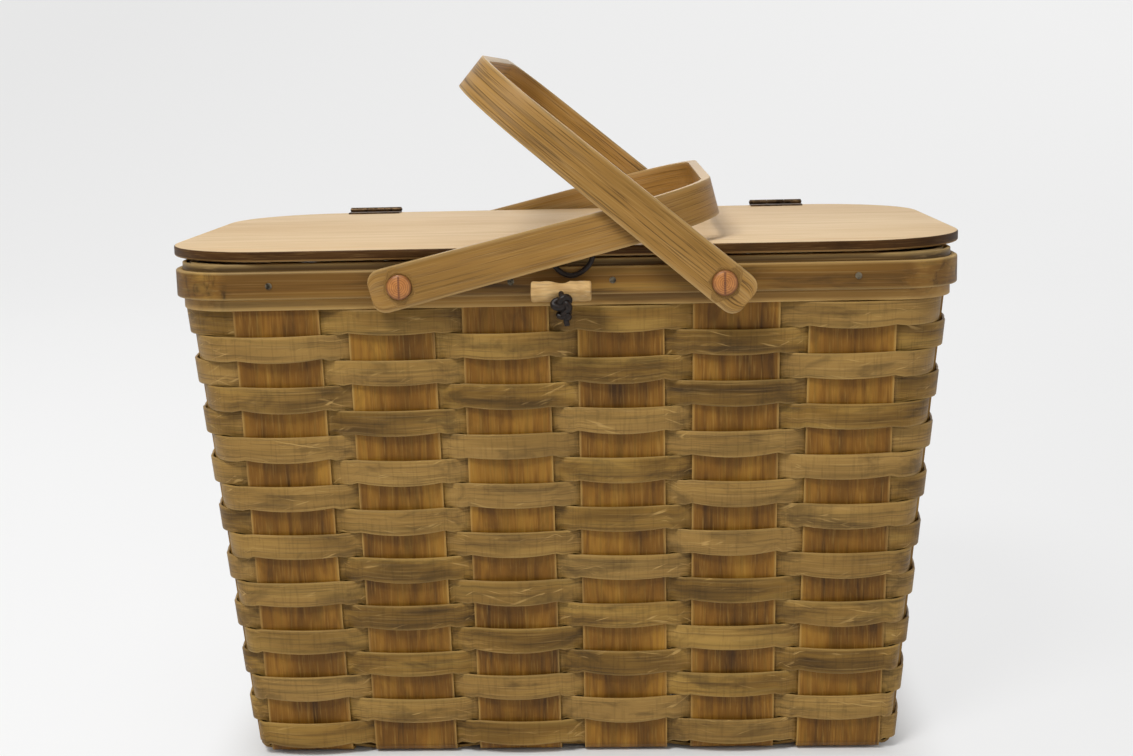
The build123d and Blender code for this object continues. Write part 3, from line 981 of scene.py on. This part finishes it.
@dataclass
class Weaving:
    """The eighteen rows of weavers, each one splint over and under the staves.

    Outside a stave a row bows out by the bulge, and its lower and upper edges hang by the sag and
    the top sag. Its lower edge stops short of the next row by the slack, and closes up in the gaps.
    Where it runs inside, it laps its neighbours by the overlaps.
    """

    wall: Wall
    rows: int = 18
    thickness: float = 0.0015
    clearance: float = 0.00035
    bend_radius: float = 0.005
    bulge: float = 0.0024
    bulge_varies: float = 0.22
    sag: float = 0.0016
    top_sag: float = 0.0002
    tilt: float = 0.0003
    row_gap: float = 0.0002
    slack: float = 0.0010
    closing: float = 0.00085
    overlap_low: float = 0.0022
    overlap_high: float = 0.0018
    lowest: float = 0.0012
    edge: float = 0.0004
    seed_step: float = 0.53
    over_samples: int = 8
    gap_samples: int = 3
    corner_samples: int = 8
    first_stave: int = 11

    def lift(self) -> float:
        """How far a weaver's middle lies from the wall's middle where it crosses a stave."""
        return (self.wall.stave_thickness + self.thickness) / 2 + self.clearance

    def corners(self) -> set[int]:
        """Staves that a corner of the wall follows."""
        first, second = self.wall.stave_counts
        return {first - 1, first + second - 1, 2 * first + second - 1, 2 * (first + second) - 1}

    @staticmethod
    def side(row: int, stave: int) -> int:
        """1 where a row passes outside a stave, and -1 where it passes inside."""
        return 1 if (row + stave) % 2 else -1

    def bow(self, row: int, stave: int) -> float:
        """How much a crossing bows and sags, as a share of the usual."""
        return 1 + self.bulge_varies * sin(2.7 * row + 5.1 * stave)

    def route(self) -> list[Sample]:
        """Sample places along a row.

        Returns:
            The samples, with the first one again at the end.
        """
        samples = []
        corners = self.corners()
        for number in range(self.wall.staves_round):
            stave = (number + self.first_stave) % self.wall.staves_round
            for step in range(self.over_samples + 1):
                samples.append(Sample(stave, 2 * step / self.over_samples - 1))
            steps = self.corner_samples if stave in corners else self.gap_samples
            for step in range(1, steps + 1):
                samples.append(Sample(stave, past=step / (steps + 1)))
        return samples + [samples[0]]

    def point(self, row: int, sample: Sample, z: float) -> Vector:
        """Point of a weaver's middle surface.

        Args:
            row: The row's number.
            sample: The place along the row.
            z: Its height.

        Returns:
            The point.
        """
        stations = self.wall.stations(z)
        middle, outward, forward = stations[sample.stave]
        following, next_outward, _ = stations[(sample.stave + 1) % len(stations)]
        lift = self.side(row, sample.stave) * self.lift() * sample.turn
        half = self.wall.stave_width / 2
        if sample.past is None:
            bulge = self.side(row, sample.stave) * self.bulge * self.bow(row, sample.stave)
            plan = middle + forward * (sample.across * half)
            plan += outward * (lift + bulge * (1 - sample.across ** 2))
        elif next_outward == outward:
            start = middle + forward * half
            plan = start.lerp(following - forward * half, sample.past) + outward * lift
        else:
            length, depth, corner = self.wall.at(z)
            diagonal = outward + next_outward
            centre = Vector(((length - corner) * diagonal.x, (depth - corner) * diagonal.y))
            angle = sample.past * pi / 2
            plan = centre + (outward * cos(angle) + next_outward * sin(angle)) * (corner + lift)
        return Vector((plan.x, plan.y, z))

    def span(self, row: int, sample: Sample) -> tuple[float, float]:
        """Heights of a row's edges at a sample.

        Args:
            row: The row's number.
            sample: The place along the row.

        Returns:
            Height of the lower and of the upper edge.
        """
        top = self.wall.rim_z - self.row_gap
        high = top - row * self.pitch()
        low = high - self.pitch() + self.slack
        hidden = min(max(-2 * self.side(row, sample.stave) * sample.turn - 1, 0.0), 1.0)
        close = 0.0 if sample.past is None else self.closing
        low -= max(close, self.overlap_low * hidden)
        high = min(high + self.overlap_high * hidden, top)
        if sample.past is None and self.side(row, sample.stave) > 0:
            crown = 1 - sample.across ** 2
            lean = self.tilt * sin(1.3 * row + 3.7 * sample.stave) * sample.across
            low += lean - self.sag * self.bow(row, sample.stave) * crown
            high += lean - self.top_sag * crown
        return low, high

    def pitch(self) -> float:
        """Height from one row to the next."""
        return (self.wall.rim_z - self.wall.floor_mid - self.bend_radius) / self.rows

    def tone(self, row: int, sample: Sample) -> float:
        """How olive a crossing is, with the gaps like the outer crossing beside them.

        Args:
            row: The row's number.
            sample: The place along the row.

        Returns:
            The share, from 0 to 1.
        """
        stave = sample.stave
        if sample.past is not None and self.side(row, stave) < 0:
            stave = (stave + 1) % self.wall.staves_round
        return (0.5 + 0.5 * sin(2.1 * row * row + 3.3 * stave * stave + 1.7 * row * stave)) ** 1.5

    def build_row(self, row: int, finish: bpy.types.Material) -> None:
        """Builds one weaver.

        Args:
            row: Its number, from 0 under the rim.
            finish: Its material.
        """
        samples = self.route()
        last = len(samples) - 1

        def place(along: float, across: float) -> Vector:
            """Point of the row.

            Args:
                along: Share of its length.
                across: Share of its width.

            Returns:
                The point.
            """
            sample = samples[round(along * last)]
            low, high = self.span(row, sample)
            return self.point(row, sample, max(low + (high - low) * across, self.lowest))

        def tone(along: float, across: float) -> float:
            """How olive the row is at a share of its length."""
            return self.tone(row, samples[round(along * last)])
        level = self.wall.rim_z - self.row_gap - (row + 1) * self.pitch() + self.slack
        length, depth, _ = self.wall.at(level)
        node = f"weaver_{row + 1:02d}"
        piece = Bench.strip(f"{node}_splint", last, 2, place, 4 * (length + depth), self.pitch(),
                            self.seed_step * row, tone, True)
        Bench.thicken(piece, self.thickness)
        Bench.ease(piece, self.edge, 2)
        Bench.settle(piece, "basket", "weaver_wood", finish, node, angle=50)

    def build(self, finish: bpy.types.Material) -> None:
        """Builds every row."""
        for row in range(self.rows):
            self.build_row(row, finish)


@dataclass
class Rim:
    """Inner band, outer band, cover hoop and domed nails."""

    wall: Wall
    clearance: float = 0.0001
    inner_thickness: float = 0.003
    corner_steps: int = 14
    straight_steps: int = 10

    def ring(self, away: float) -> list[Vector]:
        """Points round a ring, dense in its corners, from the middle of the back.

        Args:
            away: The ring's distance outwards from the wall's middle line.

        Returns:
            The points in plan, with the first one again at the end.
        """
        length, depth, corner = self.wall.at(self.wall.height)
        directions = [Vector(pair) for pair in ((0, 1), (-1, 0), (0, -1), (1, 0))]
        points = [directions[0] * (depth + away)]
        for side in range(5):
            out, run = directions[side % 4], directions[(side + 1) % 4]
            reach, half = (length, depth - corner) if side % 2 else (depth, length - corner)
            start, end = (-half if side else 0.0), (half if side < 4 else 0.0)
            for step in range(1, self.straight_steps + 1):
                along = start + (end - start) * step / self.straight_steps
                points.append(out * (reach + away) + run * along)
            if side < 4:
                centre = out * (reach - corner) + run * half
                for step in range(1, self.corner_steps + 1):
                    turn = pi / 2 * step / self.corner_steps
                    points.append(centre + (out * cos(turn) + run * sin(turn)) * (corner + away))
        return points

    def band(self, node: str, inner: float, outer: float, edge: float, segments: int, seed: float,
             finish: bpy.types.Material) -> None:
        """Builds one band of the rim.

        Args:
            node: The solid part that it stands for.
            inner: Distance of its inner face from the wall's middle line.
            outer: Distance of its outer face.
            edge: Rounding of its edges.
            segments: Faces across the rounding.
            seed: Shifts the grain.
            finish: Its material.
        """
        lowest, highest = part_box(node)
        height = highest.z - lowest.z
        points = self.ring((inner + outer) / 2)
        last = len(points) - 1

        def place(along: float, across: float) -> Vector:
            """Point at a share of the band's length and of its width."""
            plan = points[round(along * last)]
            return Vector((plan.x, plan.y, lowest.z + height * across))
        length, depth, _ = self.wall.at(self.wall.height)
        # Painted shade: the tone rises from 0 at the band's foot to 1 at its top, where the band wood's
        # dark other colour darkens it under the lid.
        piece = Bench.strip(f"{node}_wood", last, 2, place, 4 * (length + depth), height, seed,
                            lambda along, across: across, True)
        Bench.thicken(piece, outer - inner)
        Bench.ease(piece, edge, segments)
        Bench.settle(piece, "basket", "rim_wood", finish, node, angle=50)

    def build(self, bands: bpy.types.Material, hoop: bpy.types.Material, nails: bpy.types.Material) -> None:
        """Builds the rim.

        Args:
            bands: Material of the inner and outer band.
            hoop: Material of the cover hoop.
            nails: Material of the nails.
        """
        inner = self.wall.stave_thickness / 2 + self.clearance
        outer = self.wall.hoop_outer
        cover = outer - (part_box("rim_cover_hoop")[1].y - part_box("rim_outer_band")[1].y)
        self.band("rim_inner_band", -inner - self.inner_thickness, -inner, 0.0007, 2, 3.1, bands)
        self.band("rim_outer_band", inner, cover, 0.0005, 2, 5.3, bands)
        self.band("rim_cover_hoop", cover, outer, 0.0009, 3, 7.7, hoop)
        Bench.dress(["rim_nails"], nails)


@dataclass
class Lid:
    """Board lid with rounded corners and a darker edge."""

    corner: float = 0.070
    edge: float = 0.0011
    corner_faces: int = 20

    def build(self, top: bpy.types.Material, side: bpy.types.Material) -> None:
        """Builds the board.

        Args:
            top: Material of its broad faces.
            side: Material of its edge.
        """
        lowest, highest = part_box("lid_board")
        size = highest - lowest
        board = Bench.add(bpy.ops.mesh.primitive_cube_add, "lid_board_wood", size=1,
                          location=(lowest + highest) / 2)
        board.scale = size
        Bench.fix_place(board)
        round_off = {"offset": self.corner, "segments": self.corner_faces, "affect": "EDGES",
                     "clamp_overlap": False}
        Bench.edit(board, "EDGE", lambda edge: abs(edge.verts[0].co.z - edge.verts[1].co.z) > size.z / 2,
                   (bpy.ops.mesh.bevel, round_off))
        Bench.ease(board, self.edge, 3, angle=60)
        board.data.materials.append(top)
        board.data.materials.append(side)
        for face in board.data.polygons:
            face.material_index = 0 if abs(face.normal.z) > 0.8 else 1
        Bench.settle(board, "lid", "lid_wood", top, "lid_board")


@dataclass
class Handle:
    """One bent wood handle: two arms, rounded corners and a crosspiece.

    It leans by an angle in degrees from level, towards the other side of the basket.
    """

    side: int
    name: str
    lean: float
    standoff: float
    pivot: Vector
    reach: float = 0.184
    thickness: float = 0.0055
    width: float = 0.025
    tip_width: float = 0.022
    tail: float = 0.017
    tail_flat: float = 0.010
    corner: float = 0.052
    peg_radius: float = 0.0074
    edge: float = 0.0011
    tail_steps: int = 10
    arm_steps: int = 26
    corner_steps: int = 12
    cross_steps: int = 10

    def path(self) -> list[tuple[float, float, float]]:
        """Middle line of the handle in its own plan, from the front tail to the back one.

        Returns:
            Distance from the pivots, depth, and distance from the nearer end, at each sample.
        """
        half = self.standoff + self.thickness / 2
        flat = self.reach - self.corner
        start = self.width - self.tail
        arm = [start - self.width * cos(step / self.tail_steps * pi / 2) for step in range(self.tail_steps)]
        arm += [start + (flat - start) * step / self.arm_steps for step in range(self.arm_steps + 1)]
        front = [(u, -half) for u in arm]
        for step in range(1, self.corner_steps + 1):
            turn = pi / 2 * step / self.corner_steps
            front.append((flat + self.corner * sin(turn), -half + self.corner * (1 - cos(turn))))
        inner = half - self.corner
        places = [2 * step / self.cross_steps - 1 for step in range(1, self.cross_steps)]
        line = front + [(self.reach, inner * place) for place in places]
        line += [(u, -y) for u, y in reversed(front)]
        lengths = [0.0]
        for before, after in zip(line, line[1:]):
            lengths.append(lengths[-1] + hypot(after[0] - before[0], after[1] - before[1]))
        return [(u, y, min(run, lengths[-1] - run)) for (u, y), run in zip(line, lengths)]

    def half_width(self, u: float, run: float) -> float:
        """Half of the handle's width at a place.

        Args:
            u: Distance from the pivots.
            run: Distance from the nearer end.

        Returns:
            The half width.
        """
        share = min(max(u, 0.0) / self.reach, 1.0)
        half = (self.width + (self.tip_width - self.width) * share) / 2
        blunt = (self.width - self.tail_flat) / 2
        if run < blunt:
            return min(half, self.tail_flat / 2 + (blunt ** 2 - (blunt - run) ** 2) ** 0.5)
        return half

    def build(self, finish: bpy.types.Material) -> None:
        """Builds the handle with its peg holes.

        Args:
            finish: Its material.
        """
        samples = self.path()
        last = len(samples) - 1
        length = sum(hypot(b[0] - a[0], b[1] - a[1]) for a, b in zip(samples, samples[1:]))
        tilt = radians(self.lean)
        out = Vector((-self.side * cos(tilt), 0.0, sin(tilt)))
        up = Vector((self.side * sin(tilt), 0.0, cos(tilt)))

        def place(along: float, across: float) -> Vector:
            """Point of the handle.

            Args:
                along: Share of its length.
                across: Share of its width.

            Returns:
                The point.
            """
            u, y, run = samples[round(along * last)]
            lift = self.half_width(u, run) * (2 * across - 1)
            return self.pivot + out * u + Vector((0.0, y, 0.0)) + up * lift
        piece = Bench.strip(f"handle_{self.name}_wood", last, 4, place, length, self.width,
                            2.0 + self.side, lambda along, across: 0.5, False)
        Bench.thicken(piece, self.thickness)
        outwards = (bpy.ops.mesh.normals_make_consistent, {"inside": False})
        Bench.edit(piece, "FACE", lambda face: True, outwards)
        Bench.ease(piece, self.edge, 3)
        drill = Bench.add(bpy.ops.mesh.primitive_cylinder_add, "peg_drill", vertices=48,
                          radius=self.peg_radius, depth=3 * self.standoff, location=self.pivot,
                          rotation=(pi / 2, 0, 0))
        Bench.apply(piece, "BOOLEAN", operation="DIFFERENCE", object=drill, solver="EXACT")
        bpy.data.objects.remove(drill)
        body = f"handle_{self.name}"
        Bench.settle(piece, body, "handle_wood", finish, body)


@dataclass(frozen=True)
class Lump:
    """One lump of the lace's knot: its place from the knot, half sizes, depth and cord radius."""

    name: str
    offset: tuple[float, float, float]
    wide: float
    tall: float
    deep: float
    radius: float

    def points(self, knot: Vector, count: int = 96) -> list[Vector]:
        """Middle line of its cord, an overhand knot.

        Args:
            knot: Middle of the knot.
            count: How many points it has.

        Returns:
            Points round the lump.
        """
        points = []
        for step in range(count):
            turn = 2 * pi * step / count
            x = (cos(turn) - 2 * cos(2 * turn)) / 3 * self.wide
            z = (sin(turn) + 2 * sin(2 * turn)) / 3 * self.tall
            points.append(knot + Vector(self.offset) + Vector((x, -sin(3 * turn) * self.deep, z)))
        return points


KNOT_LUMPS = (
    Lump("lace_knot", (0.0, 0.0, 0.0), 0.0050, 0.0041, 0.0010, 0.0021),
    Lump("lace_knot_low", (0.0010, 0.0010, -0.0062), 0.0034, 0.0023, 0.0009, 0.0017),
)


@dataclass
class Closure:
    """Leather loop on the lid, and the toggle on its knotted lace."""

    rim_face: float = 0.140
    toggle_radius: float = 0.0058
    toggle_length: float = 0.034
    toggle_edge: float = 0.0011
    toggle_cuts: int = 17
    waist: float = 0.0046
    waist_reach: float = 0.0052
    swell: float = 0.02
    swell_waves: float = 900.0
    lace_radius: float = 0.0016
    lace_low: float = 0.275
    loop_radius: float = 0.0015
    loop_left: float = -0.0065
    loop_right: float = 0.0185
    loop_drop: float = 0.011
    loop_gap: float = 0.0003
    loop_inset: float = 0.009

    def toggle_centre(self) -> Vector:
        """Middle of the toggle."""
        lowest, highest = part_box("toggle")
        return (lowest + highest) / 2

    def build_toggle(self, finish: bpy.types.Material) -> None:
        """Turned toggle with rounded ends and a shallow waist.

        Args:
            finish: Its material.
        """
        centre = self.toggle_centre()
        half = self.toggle_length / 2
        bar = Bench.add(bpy.ops.mesh.primitive_cylinder_add, "toggle_bar", vertices=48,
                        radius=self.toggle_radius, depth=self.toggle_length, location=centre,
                        rotation=(0, pi / 2, 0))
        Bench.fix_place(bar)
        for cut in range(1, self.toggle_cuts):
            x = centre.x - half + self.toggle_length * cut / self.toggle_cuts
            slice_here = {"plane_co": (x, centre.y, centre.z), "plane_no": (1, 0, 0)}
            Bench.edit(bar, "FACE", lambda face: True, (bpy.ops.mesh.bisect, slice_here))

        def at_end(edge: bmesh.types.BMEdge) -> bool:
            """Whether an edge lies on an end of the toggle."""
            return all(abs(abs(vertex.co.x - centre.x) - half) < SAME_PLACE for vertex in edge.verts)
        rounding = {"offset": self.toggle_edge, "segments": 3, "affect": "EDGES"}
        Bench.edit(bar, "EDGE", at_end, (bpy.ops.mesh.bevel, rounding))
        for vertex in bar.data.vertices:
            near = max(0.0, 1 - (abs(vertex.co.x - centre.x) / self.waist_reach) ** 2)
            pinch = 1 - (1 - self.waist / self.toggle_radius) * near
            swell = 1 - self.swell * sin(self.swell_waves * vertex.co.x)
            vertex.co.y = centre.y + (vertex.co.y - centre.y) * pinch * swell
            vertex.co.z = centre.z + (vertex.co.z - centre.z) * pinch * swell
        Bench.settle(bar, "toggle", "toggle_wood", finish, "toggle")

    @staticmethod
    def cord_piece(name: str, points: Sequence[Vector], radius: float, closed: bool) -> bpy.types.Object:
        """Round cord on one smooth curve.

        Args:
            name: The piece's name.
            points: Control points of its line.
            radius: Its radius.
            closed: Whether it closes on itself.

        Returns:
            The cord as a mesh.
        """
        curve = bpy.data.curves.new(name, "CURVE")
        curve.dimensions = "3D"
        curve.bevel_depth = radius
        curve.bevel_resolution = 5
        curve.resolution_u = 8
        curve.use_fill_caps = True
        spline = curve.splines.new("NURBS")
        spline.points.add(len(points) - 1)
        for item, point in zip(spline.points, points):
            item.co = (*point, 1.0)
        spline.order_u = 3
        spline.use_endpoint_u = not closed
        spline.use_cyclic_u = closed
        piece = bpy.data.objects.new(name, curve)
        bpy.context.collection.objects.link(piece)
        Bench.choose(piece)
        bpy.ops.object.convert(target="MESH")
        return piece

    def build_loop(self, finish: bpy.types.Material) -> None:
        """Leather loop that comes out of the lid's front edge and hangs before the rim.

        Args:
            finish: Its material.
        """
        board_low, board_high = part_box("lid_board")
        inside = board_low.y + self.loop_inset
        y = -self.rim_face - self.loop_gap - self.loop_radius
        top = (board_low.z + board_high.z) / 2
        low = board_low.z - self.loop_drop
        middle = (self.loop_left + self.loop_right) / 2
        points = [
            Vector((self.loop_left, inside, top)),
            Vector((self.loop_left, y, top)),
            Vector((self.loop_left + 0.002, y, low + 0.006)),
            Vector((middle - 0.003, y, low)),
            Vector((middle + 0.004, y, low + 0.001)),
            Vector((self.loop_right - 0.0015, y, low + 0.007)),
            Vector((self.loop_right, y, top)),
            Vector((self.loop_right, inside, top)),
        ]
        piece = self.cord_piece("closing_loop_cord", points, self.loop_radius, False)
        Bench.settle(piece, "lid", "leather", finish, "closing_loop")

    def build_lace(self, finish: bpy.types.Material) -> None:
        """Lace from under the rim, up behind the toggle and through it, with its knot and tail.

        Args:
            finish: Its material.
        """
        centre = self.toggle_centre()
        behind = centre.y + self.waist + self.lace_radius + 0.0003
        front = centre.y - self.waist
        knot = Vector((centre.x + 0.0010, front - 0.0042, centre.z - 0.0060))
        points = [
            Vector((0, -self.rim_face + 0.004, self.lace_low)),
            Vector((0, behind, self.lace_low)),
            Vector((0, behind, centre.z)),
            Vector((0, front - 0.001, centre.z)),
            knot,
            knot + Vector((0.0008, 0.0004, -0.005)),
            knot + Vector((0.0016, 0.0014, -0.0085)),
            knot + Vector((0.0022, 0.0016, -0.0125)),
        ]
        lace = self.cord_piece("toggle_lace_cord", points, self.lace_radius, False)
        lumps = [self.cord_piece(lump.name, lump.points(knot), lump.radius, True) for lump in KNOT_LUMPS]
        Bench.choose(lace)
        for lump in lumps:
            lump.select_set(True)
        bpy.ops.object.join()
        Bench.settle(lace, "lace", "leather", finish, "toggle_lace")


@dataclass(frozen=True)
class Lamp:
    """A soft round lamp: its place and diameter in metres, and its power in watts."""

    name: str
    place: tuple[float, float, float]
    size: float
    power: float


LAMPS = (
    Lamp("key", (-0.75, -1.35, 2.15), 0.85, 40.0),
    Lamp("fill", (1.7, -1.5, 0.9), 1.8, 8.0),
    Lamp("top", (0.1, 0.3, 2.2), 1.4, 7.0),
    Lamp("back", (0.0, 2.0, 1.2), 1.6, 6.0),
)


@dataclass
class Studio:
    """Camera, lamps, world and backdrop. Its angles are in degrees."""

    focal_pixels: float = 1657.7
    sensor: float = 36.0
    camera_place: tuple[float, float, float] = (0.03685, -1.07706, 0.40389)
    yaw: float = -2.16
    pitch: float = 10.17
    roll: float = 1.30
    sky: float = 0.27
    seen_sky: float = 0.87
    aim: tuple[float, float, float] = (0.0, 0.0, 0.2)
    sweep_width: float = 24.0
    sweep_front: float = -12.0
    sweep_back: float = 3.25
    sweep_rise: float = 4.0
    sweep_bend: float = 1.2

    def build_camera(self) -> None:
        """Camera at the photographed viewpoint."""
        data = bpy.data.cameras.new("view")
        data.sensor_width = self.sensor
        data.lens = self.sensor * self.focal_pixels / IMAGE_WIDTH
        data.clip_start = 0.02
        camera = bpy.data.objects.new("view", data)
        bpy.context.scene.collection.objects.link(camera)
        yaw, pitch, roll = radians(self.yaw), radians(self.pitch), radians(self.roll)
        forward = Vector((sin(yaw) * cos(pitch), cos(yaw) * cos(pitch), -sin(pitch)))
        right = Vector((cos(yaw), -sin(yaw), 0.0))
        up = right.cross(forward)
        turned_right = right * cos(roll) - up * sin(roll)
        turned_up = right * sin(roll) + up * cos(roll)
        axes = Matrix((turned_right, turned_up, -forward)).transposed()
        camera.matrix_world = Matrix.Translation(self.camera_place) @ axes.to_4x4()
        bpy.context.scene.camera = camera

    def build_lamps(self) -> None:
        """Soft lamps round the basket."""
        for lamp in LAMPS:
            data = bpy.data.lights.new(lamp.name, "AREA")
            data.shape = "DISK"
            data.size = lamp.size
            data.energy = lamp.power
            made = bpy.data.objects.new(lamp.name, data)
            made.location = lamp.place
            towards = Vector(self.aim) - Vector(lamp.place)
            made.rotation_euler = towards.to_track_quat("-Z", "Y").to_euler()
            bpy.context.scene.collection.objects.link(made)

    def build_world(self) -> None:
        """Even white world, which looks pale grey where the camera sees it."""
        world = bpy.data.worlds.new("studio")
        bpy.context.scene.world = world
        world.use_nodes = True
        nodes, links = world.node_tree.nodes, world.node_tree.links
        lighting = nodes["Background"]
        lighting.inputs[0].default_value = (1.0, 1.0, 1.0, 1.0)
        lighting.inputs[1].default_value = self.sky
        seen = nodes.new("ShaderNodeBackground")
        seen.inputs[0].default_value = (self.seen_sky, self.seen_sky, self.seen_sky, 1.0)
        mix = nodes.new("ShaderNodeMixShader")
        links.new(nodes.new("ShaderNodeLightPath").outputs["Is Camera Ray"], mix.inputs[0])
        links.new(lighting.outputs[0], mix.inputs[1])
        links.new(seen.outputs[0], mix.inputs[2])
        links.new(mix.outputs[0], nodes["World Output"].inputs[0])

    def build_backdrop(self) -> None:
        """Floor that sweeps up behind the basket."""
        middle = (self.sweep_front + self.sweep_back) / 2
        sweep = Bench.add(bpy.ops.mesh.primitive_plane_add, "backdrop_sweep", size=1,
                          location=(0, middle, 0))
        sweep.scale = (self.sweep_width, self.sweep_back - self.sweep_front, 1.0)
        Bench.fix_place(sweep)

        def at_back(edge: bmesh.types.BMEdge) -> bool:
            """Whether an edge lies along the floor's back."""
            return all(vert.co.y > self.sweep_back - 0.1 and vert.co.z < 0.1 for vert in edge.verts)
        rise = {"TRANSFORM_OT_translate": {"value": (0, 0, self.sweep_rise)}}
        Bench.edit(sweep, "EDGE", at_back, (bpy.ops.mesh.extrude_region_move, rise))
        rounding = {"offset": self.sweep_bend, "segments": 14, "affect": "EDGES"}
        Bench.edit(sweep, "EDGE", at_back, (bpy.ops.mesh.bevel, rounding))
        Bench.choose(sweep)
        bpy.ops.object.shade_smooth()
        sweep.data.materials.append(Backdrop().material())

    def build(self) -> None:
        """Builds the whole studio."""
        self.build_camera()
        self.build_lamps()
        self.build_world()
        self.build_backdrop()
        bpy.context.scene.view_settings.view_transform = "Standard"


def nodes_named(start: str) -> list[str]:
    """Names of the solid parts that start with the given word."""
    return sorted(name for name in frame["nodes"] if name.startswith(start))


def joint_place(name: str) -> Vector:
    """Where a joint's axis passes, in metres.

    Args:
        name: The joint.

    Returns:
        A point on its axis.
    """
    places = {joint["name"]: joint["pos_m"] for joint in frame["joints"]}
    return Vector(places[name])


def dress_solids(wall: Wall) -> None:
    """Gives the staves, hinges, pegs and wedges, which stay as they are, their finishes.

    Args:
        wall: The wall that the staves stand in.
    """
    cross = replace(STAVE_WOOD, name="stave_splint_cross", source=Source.ACROSS_X, battens=wall.battens(0))
    long = replace(STAVE_WOOD, name="stave_splint_long", source=Source.ACROSS_Y, battens=wall.battens(1))
    pivot = joint_place("handle_right_swing")
    peg = PegEnd("peg_end_grain", pivot.x, pivot.z)
    # The wedge is darker than the peg: partly its own wood, partly painted shade in the cleft it sits in.
    wedge = replace(peg, name="wedge_grain_and_cleft_shade", dome=0.0, light="955a2c", dark="6a3a1a")
    hinge = AgedMetal("hinge_dark_brass", "6b5233", "33261a")
    finishes = {"stave_cross": cross, "stave_long": long, "hinge": hinge, "peg": peg, "wedge": wedge}
    for start, finish in finishes.items():
        Bench.dress(nodes_named(start), finish.material())


def build_handles(wall: Wall) -> None:
    """Builds the left handle, and the right one, which passes over it.

    Args:
        wall: The wall that they stand off from.
    """
    left_wood = replace(HANDLE_WOOD, name="handle_left_wood_finish", pore_share=0.35)
    right_wood = replace(HANDLE_WOOD, name="handle_right_wood_finish", pore_share=0.75, streak_share=0.8)
    left_standoff = wall.rim_depth / 2 + HANDLE_GAP
    right_standoff = left_standoff + HANDLE_LAYER
    left = Handle(-1, "left", 14.0, left_standoff, joint_place("handle_left_swing"))
    right = Handle(1, "right", 40.0, right_standoff, joint_place("handle_right_swing"))
    left.build(left_wood.material())
    right.build(right_wood.material())


def main() -> None:
    """Builds the basket piece by piece."""
    wall = Wall()
    Weaving(wall).build(WEAVER_WOOD.material())
    nails = AgedMetal("nail_dull_brass", "8c8068", "37322a")
    Rim(wall).build(BAND_WOOD.material(), HOOP_WOOD.material(), nails.material())
    lid_edge = replace(LID_EDGE_WOOD, pale_below=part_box("lid_board")[0].z + PALE_STRIPE)
    Lid().build(LID_WOOD.material(), lid_edge.material())
    build_handles(wall)
    dress_solids(wall)
    leather = Leather("dark_leather").material()
    closure = Closure()
    closure.build_toggle(TOGGLE_WOOD.material())
    closure.build_loop(leather)
    closure.build_lace(leather)
    Studio().build()


if __name__ == "__main__":
    main()
